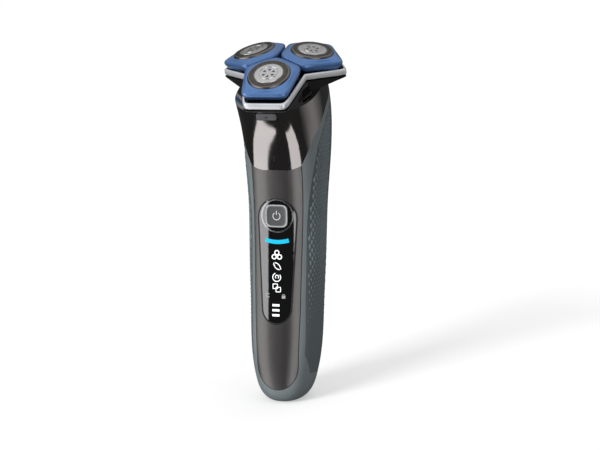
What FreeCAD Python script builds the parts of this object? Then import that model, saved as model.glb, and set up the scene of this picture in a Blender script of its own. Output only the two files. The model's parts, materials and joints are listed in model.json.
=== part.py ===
"""Rotary electric shaver with three flexing heads, millimetres.

Handle frame: +Z up the handle, -Y to the front, origin at the centre line on the foot.
Head frame: origin at the middle of the three caps, tilted forward about X by head_tilt.
Lobe frame: origin at one cap's face, X pointing away from the head's middle, leaning out by lobe_tilt.
"""
import FreeCAD, Part
import Sketcher
import math
import os
from FreeCAD import Placement, Rotation, Vector

os.makedirs("parts", exist_ok=True)
doc = FreeCAD.newDocument("ElectricShaver")

# ---------------------------------------------------------------- driving dimensions
SIZES = [
    # handle
    ("head_height", 163.5, "height of the head's middle above the foot"),
    ("head_setback", 5.2, "how far the head's middle lies in front of the handle's axis"),
    ("grip_half_width", 18.0, "half the handle's width at the thumb"),
    ("neck_half_width", 19.8, "half the handle's width at the neck"),
    ("grip_back", 29.0, "back of the handle behind the axis, at the thumb"),
    ("wall", 2.0, "wall of every outer shell"),
    ("panel_half_width", 12.2, "half width of the front panel at its top"),
    ("seam_back", 14.0, "where the side grips meet the rear shell"),
    # window, power button and board
    ("window_top_radius", 9.2, "upper end of the window"),
    ("window_low_radius", 6.9, "lower end of the window"),
    ("window_low_height", 46.0, "centre of the window's lower end"),
    ("button_height", 89.9, "centre of the power button"),
    ("button_side", 10.9, "side of the power button"),
    ("button_corner", 3.2, "corner radius of the power button"),
    ("button_gap", 0.25, "gap around each button"),
    ("button_stroke", 0.6, "travel of the power button"),
    ("ring_radius", 7.6, "middle radius of the bright ring round the power button"),
    ("ring_width", 0.6, "width of that ring"),
    ("board_front", -5.6, "front face of the main board"),
    ("board_thick", 1.2, "thickness of the circuit boards"),
    ("board_half_width", 8.5, "half width of the main board"),
    ("board_low", 30.0, "lower end of the main board"),
    ("board_high", 104.0, "upper end of the main board"),
    # inside the handle
    ("battery_radius", 7.0, "radius of the cell"),
    ("battery_length", 50.0, "length of the cell"),
    ("battery_low", 22.0, "lower end of the cell"),
    ("battery_back", 7.5, "axis of the cell behind the handle's axis"),
    ("contact_thick", 0.6, "thickness of the battery contacts"),
    ("motor_radius", 9.0, "radius of the motor can"),
    ("motor_length", 27.0, "length of the motor can"),
    ("motor_shaft_radius", 1.0, "radius of the motor shaft"),
    # charging socket
    ("socket_half_width", 5.2, "half width of the socket insert"),
    ("socket_depth", 3.2, "half depth of the socket insert"),
    ("socket_length", 9.0, "height of the socket insert"),
    ("socket_wall", 0.9, "wall of the socket insert"),
    ("pin_radius", 0.5, "radius of a charging pin"),
    # head
    ("head_tilt", 24.0, "forward tilt of the head"),
    ("lobe_tilt", 12.2, "outward lean of each shaving head"),
    ("lobe_radius", 16.6, "distance of each cap from the head's middle"),
    ("cap_radius", 10.0, "radius of a shaving cap"),
    ("cap_height", 3.6, "height of a shaving cap"),
    ("cap_skin", 0.5, "thickness of the slotted track"),
    ("track_inner", 7.1, "inner radius of the slotted track"),
    ("track_outer", 9.1, "outer radius of the slotted track"),
    ("slot_count", 36.0, "slots in one track"),
    ("slot_width", 0.35, "width of a slot"),
    ("cutter_gap", 0.08, "gap between cutter and cap"),
    ("hub_radius", 3.0, "radius of a cutter's hub"),
    ("hub_bore", 1.75, "radius of the drive socket in a cutter's hub"),
    ("spindle_radius", 0.95, "radius of a drive spindle"),
    ("spindle_reach", 1.0, "how far a spindle reaches into its cutter"),
    ("blade_count", 12.0, "blades of one cutter"),
    ("pivot_depth", 7.2, "depth of the flexing pivots below the cap's face"),
    ("pivot_radius", 0.6, "radius of a pivot stub"),
    ("gimbal_outer", 8.6, "outer radius of a gimbal ring"),
    ("gimbal_inner", 7.4, "inner radius of a gimbal ring"),
    ("gimbal_thick", 1.6, "thickness of a gimbal ring"),
    ("pivot_gap", 0.05, "radial clearance round a pivot stub"),
    ("rim_drop", 6.2, "depth of the bright rim's top edge below the cap's face"),
    ("rim_height", 3.4, "height of the bright rim"),
    ("rim_wall", 1.1, "wall of the bright rim"),
    ("unit_gap", 0.15, "gap between the opening unit and the hair chamber"),
    ("collar_drop", 13.6, "depth of the collar's top plane below the head's middle"),
    ("chamber_floor", 17.6, "depth of the hair chamber's underside"),
    ("hinge_back", 25.0, "hinge axis behind the head's middle"),
    ("hinge_drop", 10.9, "hinge axis below the head's middle"),
    ("hinge_pin_radius", 1.0, "radius of the hinge pin"),
    ("hinge_gap", 0.05, "radial clearance on the hinge pin"),
    ("hinge_half_length", 7.0, "half the length of the hinge pin"),
    ("wheel_teeth", 42.0, "teeth of the central wheel"),
    ("pinion_teeth", 12.0, "teeth of each drive gear"),
    ("gear_thick", 2.2, "face width of the gears"),
    ("release_half_width", 4.9, "half width of the release button"),
    ("release_tall", 3.6, "height of the release button"),
    ("release_stroke", 1.0, "travel of the release button"),
]
sheet = doc.addObject("Spreadsheet::Sheet", "Sizes")
for row, (alias, value, note) in enumerate(SIZES, 1):
    sheet.set(f"A{row}", note)
    sheet.set(f"B{row}", str(value))
    sheet.setAlias(f"B{row}", alias)
doc.recompute()
S = {alias: float(getattr(sheet, alias)) for alias, _, _ in SIZES}

TOUCH = 0.02            # how far a cutting tool reaches past a face
NODES = {}              # node name -> document object
LOBES = (-90.0, 30.0, 150.0)
HEAD = Placement(Vector(0, -S["head_setback"], S["head_height"]), Rotation(Vector(1, 0, 0), S["head_tilt"]))


def lobe(angle):
    """The lobe frame at an angle round the head."""
    turn = Rotation(Vector(0, 0, 1), angle) * Rotation(Vector(0, 1, 0), S["lobe_tilt"])
    spin = Rotation(Vector(0, 0, 1), angle)
    return HEAD * Placement(spin.multVec(Vector(S["lobe_radius"], 0, 0)), turn)


def at(x=0.0, y=0.0, z=0.0, frame=Placement(), axis=None, angle=0.0):
    """A placement inside a frame, turned about an axis if one is given."""
    turn = Rotation(Vector(*axis), angle) if axis else Rotation()
    return frame * Placement(Vector(x, y, z), turn)


# ---------------------------------------------------------------- document helpers
def make(kind, name, where, **bound):
    """A Part primitive whose properties are bound to the sheet."""
    item = doc.addObject("Part::" + kind, name)
    for key, expression in bound.items():
        item.setExpression(key, expression)
    item.Placement = where
    return item


def cylinder(name, where, radius, height):
    return make("Cylinder", name, where, Radius=radius, Height=height)


def block(name, where, length, width, height):
    """A box centred on its frame in X and Y, standing on Z = 0."""
    item = make("Box", name, Placement(), Length=length, Width=width, Height=height)
    doc.recompute()
    item.Placement = where * Placement(Vector(-item.Length.Value / 2, -item.Width.Value / 2, 0), Rotation())
    return item


def cut(name, base, *tools):
    tool = tools[0] if len(tools) == 1 else fuse(name + "_tools", *tools)
    item = doc.addObject("Part::Cut", name)
    item.Base = base
    item.Tool = tool
    return item


def fuse(name, *shapes):
    item = doc.addObject("Part::MultiFuse", name)
    item.Shapes = list(shapes)
    return item


def common(name, *shapes):
    item = doc.addObject("Part::MultiCommon", name)
    item.Shapes = list(shapes)
    return item


def form(name, shape, where=None):
    """A free form that no primitive or body makes."""
    item = doc.addObject("Part::Feature", name)
    item.Shape = shape
    if where is not None:
        item.Placement = where
    return item


def node(name, item):
    """Give a finished sub-part its own label."""
    item.Label = name
    NODES[name] = item
    return item


def ringed(name, where, outer, inner, height):
    """A plain ring standing on its frame's Z = 0."""
    hole = cylinder(name + "_hole", where * Placement(Vector(0, 0, -TOUCH), Rotation()), inner,
                    f"({height}) + 0.04")
    return cut(name + "_ring", cylinder(name + "_disc", where, outer, height), hole)


# ---------------------------------------------------------------- outlines
def plane_ring(points, place):
    """A closed smooth wire of two edges through points of a plane, put in space by place."""
    curve = Part.BSplineCurve()
    curve.interpolate([place(*p) for p in points], PeriodicFlag=True)
    first, last = curve.FirstParameter, curve.LastParameter
    middle = curve.parameter(place(*points[len(points) // 2]))
    return Part.Wire([curve.toShape(first, middle), curve.toShape(middle, last)])


def superellipse(half_x, front, back, square_front, square_back, count=28):
    """Points of an oval from front to back, squarer for a larger exponent."""
    middle = (front + back) / 2
    half_y = (back - front) / 2
    points = []
    for step in range(count):
        turn = 2 * math.pi * step / count
        c, s = math.cos(turn), math.sin(turn)
        power = 2 / (square_front if s < 0 else square_back)
        x = half_x * math.copysign(abs(c) ** power, c)
        points.append((x, middle + half_y * math.copysign(abs(s) ** power, s)))
    return points


def polygon(points, low, high):
    """A prism on a closed outline of (x, y) corners, from low to high."""
    corners = [Vector(x, y, low) for x, y in points]
    face = Part.Face(Part.makePolygon(corners + corners[:1]))
    return face.extrude(Vector(0, 0, high - low))


def rising_edges(solid, least):
    """Edges whose ends differ in height by more than least."""
    return [e for e in solid.Edges if abs(e.firstVertex().Point.z - e.lastVertex().Point.z) > least]


# ---------------------------------------------------------------- handle form
def handle_sections():
    """(half width, front, back, height, front squareness, back squareness) from foot to neck."""
    wide, neck, back, tall = S["grip_half_width"], S["neck_half_width"], S["grip_back"], S["head_height"] / 163.5
    rows = [
        (0.36 * wide, -8.0, 0.50 * back, 0.0, 2.4, 2.4),
        (0.52 * wide, -11.2, 0.55 * back, 1.5, 2.4, 2.4),
        (0.66 * wide, -13.6, 0.60 * back, 5.0, 2.5, 2.4),
        (0.77 * wide, -15.0, 0.66 * back, 11.0, 2.6, 2.4),
        (0.86 * wide, -15.4, 0.73 * back, 20.0, 2.7, 2.4),
        (0.925 * wide, -13.9, 0.84 * back, 45.0, 2.8, 2.4),
        (0.96 * wide, -12.3, 0.92 * back, 68.0, 2.8, 2.45),
        (0.99 * wide, -11.2, 1.01 * back, 97.0, 2.8, 2.6),
        (0.65 * wide + 0.35 * neck, -12.9, 1.06 * back, 111.0, 2.7, 2.8),
        (0.2 * wide + 0.8 * neck, -18.2, 1.11 * back, 128.0, 2.55, 3.0),
        (neck, -26.6, 1.09 * back, 140.0, 2.45, 3.0),
        (neck, -35.0, 0.99 * back, 150.0, 2.4, 2.9),
        (0.98 * neck, -42.0, 0.82 * back, 159.0, 2.4, 2.7),
        (0.95 * neck, -47.0, 0.65 * back, 166.0, 2.4, 2.6),
    ]
    return [(w, f, b, z * tall, nf, nb) for w, f, b, z, nf, nb in rows]


def handle_form(inset):
    """The handle's outer form, or its hollow where inset is the wall."""
    rings = []
    for index, (wide, front, back, height, nf, nb) in enumerate(handle_sections()):
        level = height + inset if index == 0 else max(height, height + inset * (1 - height / 12.0))
        points = superellipse(wide - inset, front + inset, back - inset, nf, nb)
        rings.append(plane_ring(points, lambda x, y, level=level: Vector(x, y, level)))
    return Part.makeLoft(rings, True, False)


def side_prism(points):
    """A prism along X whose outline is drawn in (y, z)."""
    curve = [Vector(-60, y, z) for y, z in points]
    face = Part.Face(Part.makePolygon(curve + curve[:1]))
    return face.extrude(Vector(120, 0, 0))


def front_prism(wire_points, back):
    """A prism along Y whose outline is drawn in (x, z)."""
    corners = [Vector(x, -60, z) for x, z in wire_points]
    face = Part.Face(Part.makePolygon(corners + corners[:1]))
    return face.extrude(Vector(0, 60 + back, 0))


TALL = S["head_height"] / 163.5
# lower edge of the collar, seen from the side: level at the front, then up along the shoulder
COLLAR_EDGE = [(-60, 111.0), (-12.6, 111.6), (-10.6, 113.6), (-9.4, 119.5), (-7.6, 126.0), (-3.4, 132.0),
               (4.0, 139.5), (14.0, 147.5), (26.0, 153.5), (60, 160.0)]
# front edge of the side grips, from their lower tip to their upper one
GRIP_EDGE = [(13.9, 18.0), (4.0, 12.5), (-6.0, 14.0), (-10.8, 24.0), (-9.4, 50.0), (-7.2, 84.0), (-5.4,
        108.0),
             (-3.4, 122.0), (1.0, 130.0), (8.0, 137.5), (14.0, 142.0)]


def raised(points):
    return [(y, z * TALL) for y, z in points]


outer = form("HandleForm", handle_form(0.0))
hollow = form("HandleHollow", handle_form(S["wall"]))
head_room = form("HeadRoom", Part.makeBox(200, 200, 100, Vector(-100, -100, -S["collar_drop"])), HEAD)
shell = cut("Shell", outer, hollow, head_room)

collar_zone = form("CollarZone", side_prism(raised(COLLAR_EDGE) + [(60, 260), (-60, 260)]))
grip_zone = form("GripZone", side_prism([(S["seam_back"], GRIP_EDGE[0][1] * TALL)] + raised(GRIP_EDGE)[1:-1]
                                        + [(S["seam_back"], GRIP_EDGE[-1][1] * TALL)]))
rear_zone = form("RearZone", side_prism([(S["seam_back"], 9.0 * TALL), (60, 9.0 * TALL), (60, 260),
                                         (S["seam_back"], 260)]))


def panel_outline():
    """Front panel seen from the front: nearly straight sides and a round lower end."""
    top, low = S["panel_half_width"], 0.82 * S["panel_half_width"]
    arc = [(low * math.cos(a), 7.0 * TALL + 11.5 * (1 + math.sin(a)))
           for a in [math.radians(180 + 180 * k / 12) for k in range(13)]]
    return [(-top, 120 * TALL), (-0.985 * top, 97 * TALL), (-0.94 * top, 72 * TALL), (-0.89 * top,
            42 * TALL)] + arc + [
        (0.89 * top, 42 * TALL), (0.94 * top, 72 * TALL), (0.985 * top, 97 * TALL), (top, 120 * TALL)]


def window_outline(grow):
    """Tapered capsule round the power button and the display."""
    high, low = S["window_top_radius"] + grow, S["window_low_radius"] + grow
    z_high, z_low = S["button_height"] - 1.0, S["window_low_height"]
    lean = math.asin((high - low) / (z_high - z_low))
    sweep = math.pi - 2 * lean
    top = [(high * math.cos(lean * -1 + (math.pi + 2 * lean) * k / 20), z_high
            + high * math.sin(lean * -1 + (math.pi + 2 * lean) * k / 20)) for k in range(21)]
    bottom = [(low * math.cos(math.pi + lean + sweep * k / 16), z_low
               + low * math.sin(math.pi + lean + sweep * k / 16)) for k in range(17)]
    return top + bottom


panel_zone = form("PanelZone", front_prism(panel_outline(), 0.0))
window_zone = form("WindowZone", front_prism(window_outline(0.0), 0.0))
window_hole = form("WindowHole", front_prism(window_outline(0.04), 0.0))

node("collar_blank", common("CollarBlank", shell, collar_zone))
panel_piece = cut("PanelPiece", common("PanelSkin", shell, panel_zone), collar_zone, window_hole)
node("front_panel", panel_piece)
side_skin = cut("SideSkin", common("GripSkin", shell, grip_zone), panel_zone, collar_zone)
half = Part.makeBox(100, 200, 300, Vector(0, -100, -50))
node("side_grip_right", common("SideGripRight", side_skin, form("RightHalf", half)))
node("side_grip_left", common("SideGripLeft", side_skin, form("LeftHalf", half, at(x=-100))))
node("rear_shell", cut("RearShell", common("RearSkin", shell, rear_zone), collar_zone))
frame_blank = cut("FrameBlank", shell, collar_zone, panel_zone, grip_zone, rear_zone)

# ---------------------------------------------------------------- charging socket in the foot
foot = at(y=3.0)
socket_block = block("SocketBlock", foot, "2 * Sizes.socket_half_width", "2 * Sizes.socket_depth",
                     "Sizes.socket_length")
socket_room = block("SocketRoom", at(y=3.0, z=-TOUCH), "2 * Sizes.socket_half_width",
                    "2 * Sizes.socket_depth",
                    "Sizes.socket_length + 0.02")
socket_mouth = block("SocketMouth", at(y=3.0, z=-TOUCH),
                     "2 * (Sizes.socket_half_width - Sizes.socket_wall)",
                     "2 * (Sizes.socket_depth - Sizes.socket_wall)",
                     "Sizes.socket_length - Sizes.socket_wall + 0.02")
pin_places = [at(x=side * (S["socket_half_width"] - S["socket_wall"] - 1.1), y=3.0,
                 z=2.0) for side in (-1, 1)]
pin_bores = [cylinder(f"PinBore{k}", p, "Sizes.pin_radius", "Sizes.socket_length") for k,
             p in enumerate(pin_places)]
pins = [cylinder(f"ChargingPin{k}", p, "Sizes.pin_radius", "Sizes.socket_length") for k,
        p in enumerate(pin_places)]
node("charging_socket", cut("ChargingSocket", socket_block, socket_mouth, *pin_bores))
node("charging_pins", fuse("ChargingPins", *pins))
node("grip_frame", cut("GripFrame", frame_blank, socket_room))

# ---------------------------------------------------------------- window, display and power button
press = (1, 0, 0)


def rounded_plug(name, side, corner, front, back, height):
    """A square plug with round corners along Y, as a body with one pad."""
    body = doc.addObject("PartDesign::Body", name)
    sketch = body.newObject("Sketcher::SketchObject", name + "Outline")
    plane = next(f for f in body.Origin.OriginFeatures if f.Role == "XZ_Plane")
    sketch.AttachmentSupport = (plane, "")
    sketch.MapMode = "FlatFace"
    w = side / 2
    points = [Vector(-w, -w, 0), Vector(w, -w, 0), Vector(w, w, 0), Vector(-w, w, 0)]
    for k in range(4):
        sketch.addGeometry(Part.LineSegment(points[k], points[(k + 1) % 4]), False)
    for k in range(4):
        sketch.addConstraint(Sketcher.Constraint("Coincident", k, 2, (k + 1) % 4, 1))
    sketch.addConstraint(Sketcher.Constraint("Horizontal", 0))
    sketch.addConstraint(Sketcher.Constraint("Horizontal", 2))
    sketch.addConstraint(Sketcher.Constraint("Vertical", 1))
    sketch.addConstraint(Sketcher.Constraint("Vertical", 3))
    sketch.addConstraint(Sketcher.Constraint("Symmetric", 0, 1, 1, 2, -1, 1))
    wide = sketch.addConstraint(Sketcher.Constraint("DistanceX", 0, 1, 0, 2, side))
    tall = sketch.addConstraint(Sketcher.Constraint("DistanceY", 1, 1, 1, 2, side))
    sketch.setExpression(f"Constraints[{wide}]", side_expression(name))
    sketch.setExpression(f"Constraints[{tall}]", side_expression(name))
    pad = body.newObject("PartDesign::Pad", name + "Pad")
    pad.Profile = sketch
    pad.Length = back - front
    doc.recompute()
    edges = [f"Edge{i + 1}" for i, e in enumerate(pad.Shape.Edges)
             if abs(e.firstVertex().Point.y - e.lastVertex().Point.y) > 0.9 * (back - front)]
    fillet = body.newObject("PartDesign::Fillet", name + "Corners")
    fillet.Base = (pad, edges)
    fillet.Radius = corner
    fillet.setExpression("Radius", corner_expression(name))
    body.Tip = fillet
    low = pad.Shape.BoundBox.YMin
    body.Placement = at(y=front - low, z=height)
    return body


def side_expression(name):
    return "Sizes.button_side + 2 * Sizes.button_gap" if "Room" in name else "Sizes.button_side"


def corner_expression(name):
    return "Sizes.button_corner + Sizes.button_gap" if "Room" in name else "Sizes.button_corner"



window_face = -11.35    # the window's surface beside the power button
button_front = window_face - 0.45
switch_front = S["board_front"] - 1.8
button_back = switch_front - S["button_stroke"] - 0.1
button = rounded_plug("PowerButton", S["button_side"], S["button_corner"], button_front, button_back,
                      S["button_height"])
button_room = rounded_plug("PowerButtonRoom", S["button_side"] + 2 * S["button_gap"],
                           S["button_corner"] + S["button_gap"], -30.0, 0.0, S["button_height"])
node("power_button", button)
ring_place = at(y=0, z=S["button_height"], axis=press, angle=90)
ring_tube = ringed("RingTube", ring_place, "Sizes.ring_radius + Sizes.ring_width / 2",
                   "Sizes.ring_radius - Sizes.ring_width / 2", "30")
ring_deep = form("RingDepth", handle_form(0.5))
ring_groove = cut("RingGroove", ring_tube, ring_deep)
node("button_ring", cut("ButtonRing", common("RingSkin", ring_tube, outer), ring_deep, button_room))
node("display_window", cut("DisplayWindow", common("WindowSkin", shell, window_zone), button_room,
                           ring_groove))

board = block("MainBoard", at(y=S["board_front"] + S["board_thick"] / 2, z=S["board_low"]),
              "2 * Sizes.board_half_width", "Sizes.board_thick", "Sizes.board_high - Sizes.board_low")
node("power_switch", block("PowerSwitch", at(y=S["board_front"] - 0.9, z=S["button_height"] - 2.5), "5",
                           "1.8", "5"))
node("display_board", block("DisplayBoard", at(y=S["board_front"] - 1.6, z=S["window_low_height"] - 3),
                            "8", "1",
                            "Sizes.button_height - Sizes.window_low_height - 8"))
legs = [block(f"DisplayLeg{k}", at(x=x, y=S["board_front"] - 0.55, z=z), "1.5", "1.1", "1.5")
        for k, (x, z) in enumerate([(-3, 46), (3, 46), (-3, 74), (3, 74)])]
node("display_standoffs", fuse("DisplayStandoffs", *legs))

# ---------------------------------------------------------------- chassis, cell and motor
chassis_back = S["battery_back"] - S["battery_radius"] + 0.8     # the cell lies in a shallow groove
chassis_front = S["board_front"] + S["board_thick"]
chassis_plate = block("ChassisPlate", at(y=(chassis_front + chassis_back) / 2, z=17),
                      "2 * Sizes.grip_half_width - 15",
                      str(chassis_back - chassis_front), "Sizes.head_height - 73.5")
cell_room = cylinder("CellRoom", at(y=S["battery_back"], z=S["battery_low"] - S["contact_thick"]),
                     "Sizes.battery_radius", "Sizes.battery_length + 2 * Sizes.contact_thick")
cradle = [block(f"Cradle{k}", at(y=S["battery_back"] - 1.6, z=z), "2 * Sizes.battery_radius + 5",
                "2 * Sizes.battery_radius - 3.2", "3")
          for k, z in enumerate((S["battery_low"] + 8, S["battery_low"] + S["battery_length"] - 12))]
end_walls = [block(f"EndWall{k}", at(y=S["battery_back"] - 1, z=z), "2 * Sizes.battery_radius",
                   "2 * Sizes.battery_radius - 2", "2")
             for k, z in enumerate((S["battery_low"] - S["contact_thick"] - 2,
                                    S["battery_low"] + S["battery_length"] + S["contact_thick"]))]
hollow_room = form("ChassisRoom", handle_form(S["wall"] + 0.3))
chassis_solid = cut("ChassisSolid", fuse("ChassisFused", chassis_plate, *cradle, *end_walls), cell_room)
chassis = common("ChassisFitted", chassis_solid, hollow_room)
node("battery", cylinder("Battery", at(y=S["battery_back"], z=S["battery_low"]), "Sizes.battery_radius",
                         "Sizes.battery_length"))
contacts = [cylinder(f"Contact{k}", at(y=S["battery_back"], z=z), "Sizes.battery_radius - 2",
                     "Sizes.contact_thick")
            for k, z in enumerate((S["battery_low"] - S["contact_thick"],
                                   S["battery_low"] + S["battery_length"]))]
node("battery_contacts", fuse("BatteryContacts", *contacts))

GEAR_TOP = -S["chamber_floor"] - 2.2        # gears' upper face in the head frame
GEAR_LOW = GEAR_TOP - S["gear_thick"]
DECK_TOP = -S["chamber_floor"] - 0.3
PLATE_TOP = GEAR_LOW - 0.4
PLATE_THICK = 1.6
MOTOR_TOP = PLATE_TOP - PLATE_THICK
spindle_radial = S["lobe_radius"] - (S["cap_height"] + 0.2) * math.sin(math.radians(S["lobe_tilt"]))
motor_can = cylinder("MotorCan", at(z=MOTOR_TOP - S["motor_length"], frame=HEAD), "Sizes.motor_radius",
                     "Sizes.motor_length")
motor_bore = cylinder("MotorBore", at(z=MOTOR_TOP - 8, frame=HEAD),
                      "Sizes.motor_shaft_radius + Sizes.pivot_gap", "9")
node("motor", cut("Motor", motor_can, motor_bore))
motor_room = cylinder("MotorRoom", at(z=MOTOR_TOP - S["motor_length"] - 0.3, frame=HEAD),
                      "Sizes.motor_radius + 0.3",
                      "Sizes.motor_length + 30")
node("chassis", cut("ChassisCut", chassis, motor_room))

plate_oval = plane_ring(superellipse(17.2, -19.5, 18.5, 2.4, 2.4), lambda x, y: Vector(x, y, 0))


def oval_plate(name, top, thick):
    """A plate that follows the neck's hollow."""
    blank = form(name + "Blank", Part.Face(plate_oval).extrude(Vector(0, 0, thick)), at(z=top - thick,
            frame=HEAD))
    return common(name + "Fitted", blank, hollow_room)


def spindle_places(z):
    """Points on the three spindle axes, in the head frame."""
    return [HEAD * Placement(Rotation(Vector(0, 0, 1), a).multVec(Vector(spindle_radial, 0,
            0)) + Vector(0, 0, z),
                             Rotation(Vector(0, 0, 1), a)) for a in LOBES]


def bores(name, z, height, radius="Sizes.spindle_radius + Sizes.pivot_gap"):
    return [cylinder(f"{name}{k}", p, radius, height) for k, p in enumerate(spindle_places(z))]


shaft_bore = cylinder("ShaftBore", at(z=PLATE_TOP - 5, frame=HEAD),
                      "Sizes.motor_shaft_radius + Sizes.pivot_gap", "9")
node("gear_plate", cut("GearPlate", oval_plate("GearPlate", PLATE_TOP, PLATE_THICK), shaft_bore,
                       *bores("PlateBore", PLATE_TOP - 5, "9")))
node("drive_deck", cut("DriveDeck", oval_plate("DriveDeck", DECK_TOP, 1.5), *bores("DeckBore",
        DECK_TOP - 5, "9")))


def gear_shape(teeth, module, addendum, dedendum, thick, fill, bore):
    """A spur gear with involute flanks; fill is the tooth's share of the pitch."""
    pitch = module * teeth / 2
    base = pitch * math.cos(math.radians(20))
    tip, root = pitch + addendum * module, pitch - dedendum * module

    def half_angle(r):
        """Half the tooth's angle at a radius."""
        def spread(q):
            turn = math.acos(min(1.0, base / q))
            return math.tan(turn) - turn
        return math.pi * fill / teeth + spread(pitch) - spread(max(r, base))

    levels = [root, max(root, base), pitch, tip]
    points = []
    for tooth in range(teeth):
        middle = 2 * math.pi * tooth / teeth
        rise = [(r, middle - half_angle(r)) for r in levels]
        fall = [(r, middle + half_angle(r)) for r in reversed(levels)]
        for r, a in rise + fall:
            p = Vector(r * math.cos(a), r * math.sin(a), 0)
            if not points or (p - points[-1]).Length > 1e-3:
                points.append(p)
    face = Part.Face(Part.makePolygon(points + points[:1]))
    solid = face.extrude(Vector(0, 0, thick))
    return solid.cut(Part.makeCylinder(bore, thick)) if bore else solid


wheel_teeth, pinion_teeth = int(S["wheel_teeth"]), int(S["pinion_teeth"])
module = 2 * spindle_radial / (wheel_teeth + pinion_teeth)
wheel = gear_shape(wheel_teeth, module, 0.65, 1.1, S["gear_thick"], 0.42, S["motor_shaft_radius"])
node("central_gear", form("CentralGear", wheel, at(z=GEAR_LOW, frame=HEAD, axis=(0, 0, 1), angle=-90)))
node("motor_shaft", cylinder("MotorShaft", at(z=MOTOR_TOP - 8, frame=HEAD), "Sizes.motor_shaft_radius",
                             str(GEAR_TOP - MOTOR_TOP + 8)))
half_pitch = 180.0 / pinion_teeth
pinion_tip = module * (pinion_teeth / 2 + 0.75)
hub_low = -(S["cap_height"] + 0.2) * math.cos(math.radians(S["lobe_tilt"]))
spindle_low = PLATE_TOP - PLATE_THICK
for k, (angle, place) in enumerate(zip(LOBES, spindle_places(0.0)), 1):
    pinion = gear_shape(pinion_teeth, module, 0.75, 1.0, S["gear_thick"], 0.42, S["spindle_radius"])
    wheel_phase = ((angle + 90) * wheel_teeth / 360.0) % 1.0
    turn = 180 + half_pitch + 360.0 / pinion_teeth * wheel_phase
    low = place * Placement(Vector(0, 0, GEAR_LOW), Rotation(Vector(0, 0, 1), turn))
    node(f"drive_gear_{k}", form(f"DriveGear{k}", pinion, low))
    foot_place = place * Placement(Vector(0, 0, spindle_low), Rotation())
    node(f"drive_spindle_{k}", cylinder(f"DriveSpindle{k}", foot_place, "Sizes.spindle_radius",
                                        f"{hub_low - spindle_low} + Sizes.spindle_reach"))

# ---------------------------------------------------------------- plan of the head
def rim_plan(grow):
    """Three-lobed plan: a flat and two corners a lobe, and a notch between lobes."""
    flat, corner, notch = 29.5 + grow, 10.4 + 0.9 * grow, 17.4 + 1.2 * grow
    points = []
    for angle in LOBES:
        a = math.radians(angle)
        for r, t in ((flat, -corner), (flat, corner)):
            points.append((r * math.cos(a) - t * math.sin(a), r * math.sin(a) + t * math.cos(a)))
        b = math.radians(angle + 60)
        points.append((notch * math.cos(b), notch * math.sin(b)))
    return points


def rim_prism(grow, corner_round, low=-40.0, high=20.0):
    solid = polygon(rim_plan(grow), low, high)
    return solid.makeFillet(corner_round, rising_edges(solid, 1.0))


def lobe_sector(low, high):
    """All of the head between two depths measured along each lobe's own axis."""
    pieces = []
    for angle in LOBES:
        a = math.radians(angle)
        reach = 80.0
        wedge = polygon([(0, 0), (reach * math.cos(a - math.pi / 3), reach * math.sin(a - math.pi / 3)),
                         (reach * math.cos(a), reach * math.sin(a)),
                         (reach * math.cos(a + math.pi / 3), reach * math.sin(a + math.pi / 3))], -60, 40)
        slab = Part.makeBox(160, 160, high - low, Vector(-80, -80, low))
        slab.Placement = HEAD.inverse() * lobe(angle)
        pieces.append(wedge.common(slab))
    return pieces[0].multiFuse(pieces[1:]).removeSplitter()


RIM_LOW = -S["rim_drop"] - S["rim_height"]
rim_band = rim_prism(0.0, 2.6).cut(rim_prism(-S["rim_wall"], 1.8)).common(lobe_sector(RIM_LOW,
        -S["rim_drop"]))
rim = form("RimBand", rim_band, HEAD)

# ---------------------------------------------------------------- hair chamber
def dish(shrink, low, rise):
    """Shallow underside of the hair chamber, from the collar out to the rim, in the head frame."""
    lower = superellipse(S["neck_half_width"] - 0.6 - shrink, -27.9 + shrink, 22.4 - shrink, 2.4, 2.7)
    upper = superellipse(34 - shrink, -34 + shrink, 34 - shrink, 2.2, 2.2)
    rings = [plane_ring(lower, lambda x, y: Vector(x, y, low)), plane_ring(upper, lambda x,
            y: Vector(x, y, low + rise)),
             plane_ring(upper, lambda x, y: Vector(x, y, low + 12))]
    return Part.makeLoft(rings, True, True)


def plug(shrink, top, low):
    """The lower part of the hair chamber, inside the collar."""
    oval = plane_ring(superellipse(17.0 - shrink, -23.5 + shrink, 19.0 - shrink, 2.4, 2.4), lambda x,
                      y: Vector(x, y, low))
    return Part.Face(oval).extrude(Vector(0, 0, top - low))


CHAMBER_TOP = RIM_LOW - S["unit_gap"]
COLLAR_TOP = -S["collar_drop"]
DISH_RISE = 1.3
chamber_outer = dish(0.0, COLLAR_TOP, DISH_RISE).common(rim_prism(-0.1, 2.6)).common(lobe_sector(-60,
        CHAMBER_TOP))
chamber_inner = dish(1.3, COLLAR_TOP + 1.1, DISH_RISE).common(rim_prism(-1.2, 2.0))
chamber_shape = chamber_outer.fuse(plug(0.0, COLLAR_TOP + 0.5, -S["chamber_floor"])).cut(
    chamber_inner).cut(plug(1.2, COLLAR_TOP + 3, -S["chamber_floor"] + 1.2)).removeSplitter()
chamber = form("ChamberForm", chamber_shape, HEAD)

# ---------------------------------------------------------------- hinge at the back
hinge = at(y=S["hinge_back"], z=-S["hinge_drop"], frame=HEAD)
across = hinge * Placement(Vector(), Rotation(Vector(0, 1, 0), 90))


def barrel(name, start, length, radius):
    """A cylinder on the hinge axis from start along +X."""
    return cylinder(name, across * Placement(Vector(0, 0, start), Rotation()), radius, str(length))


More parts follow.
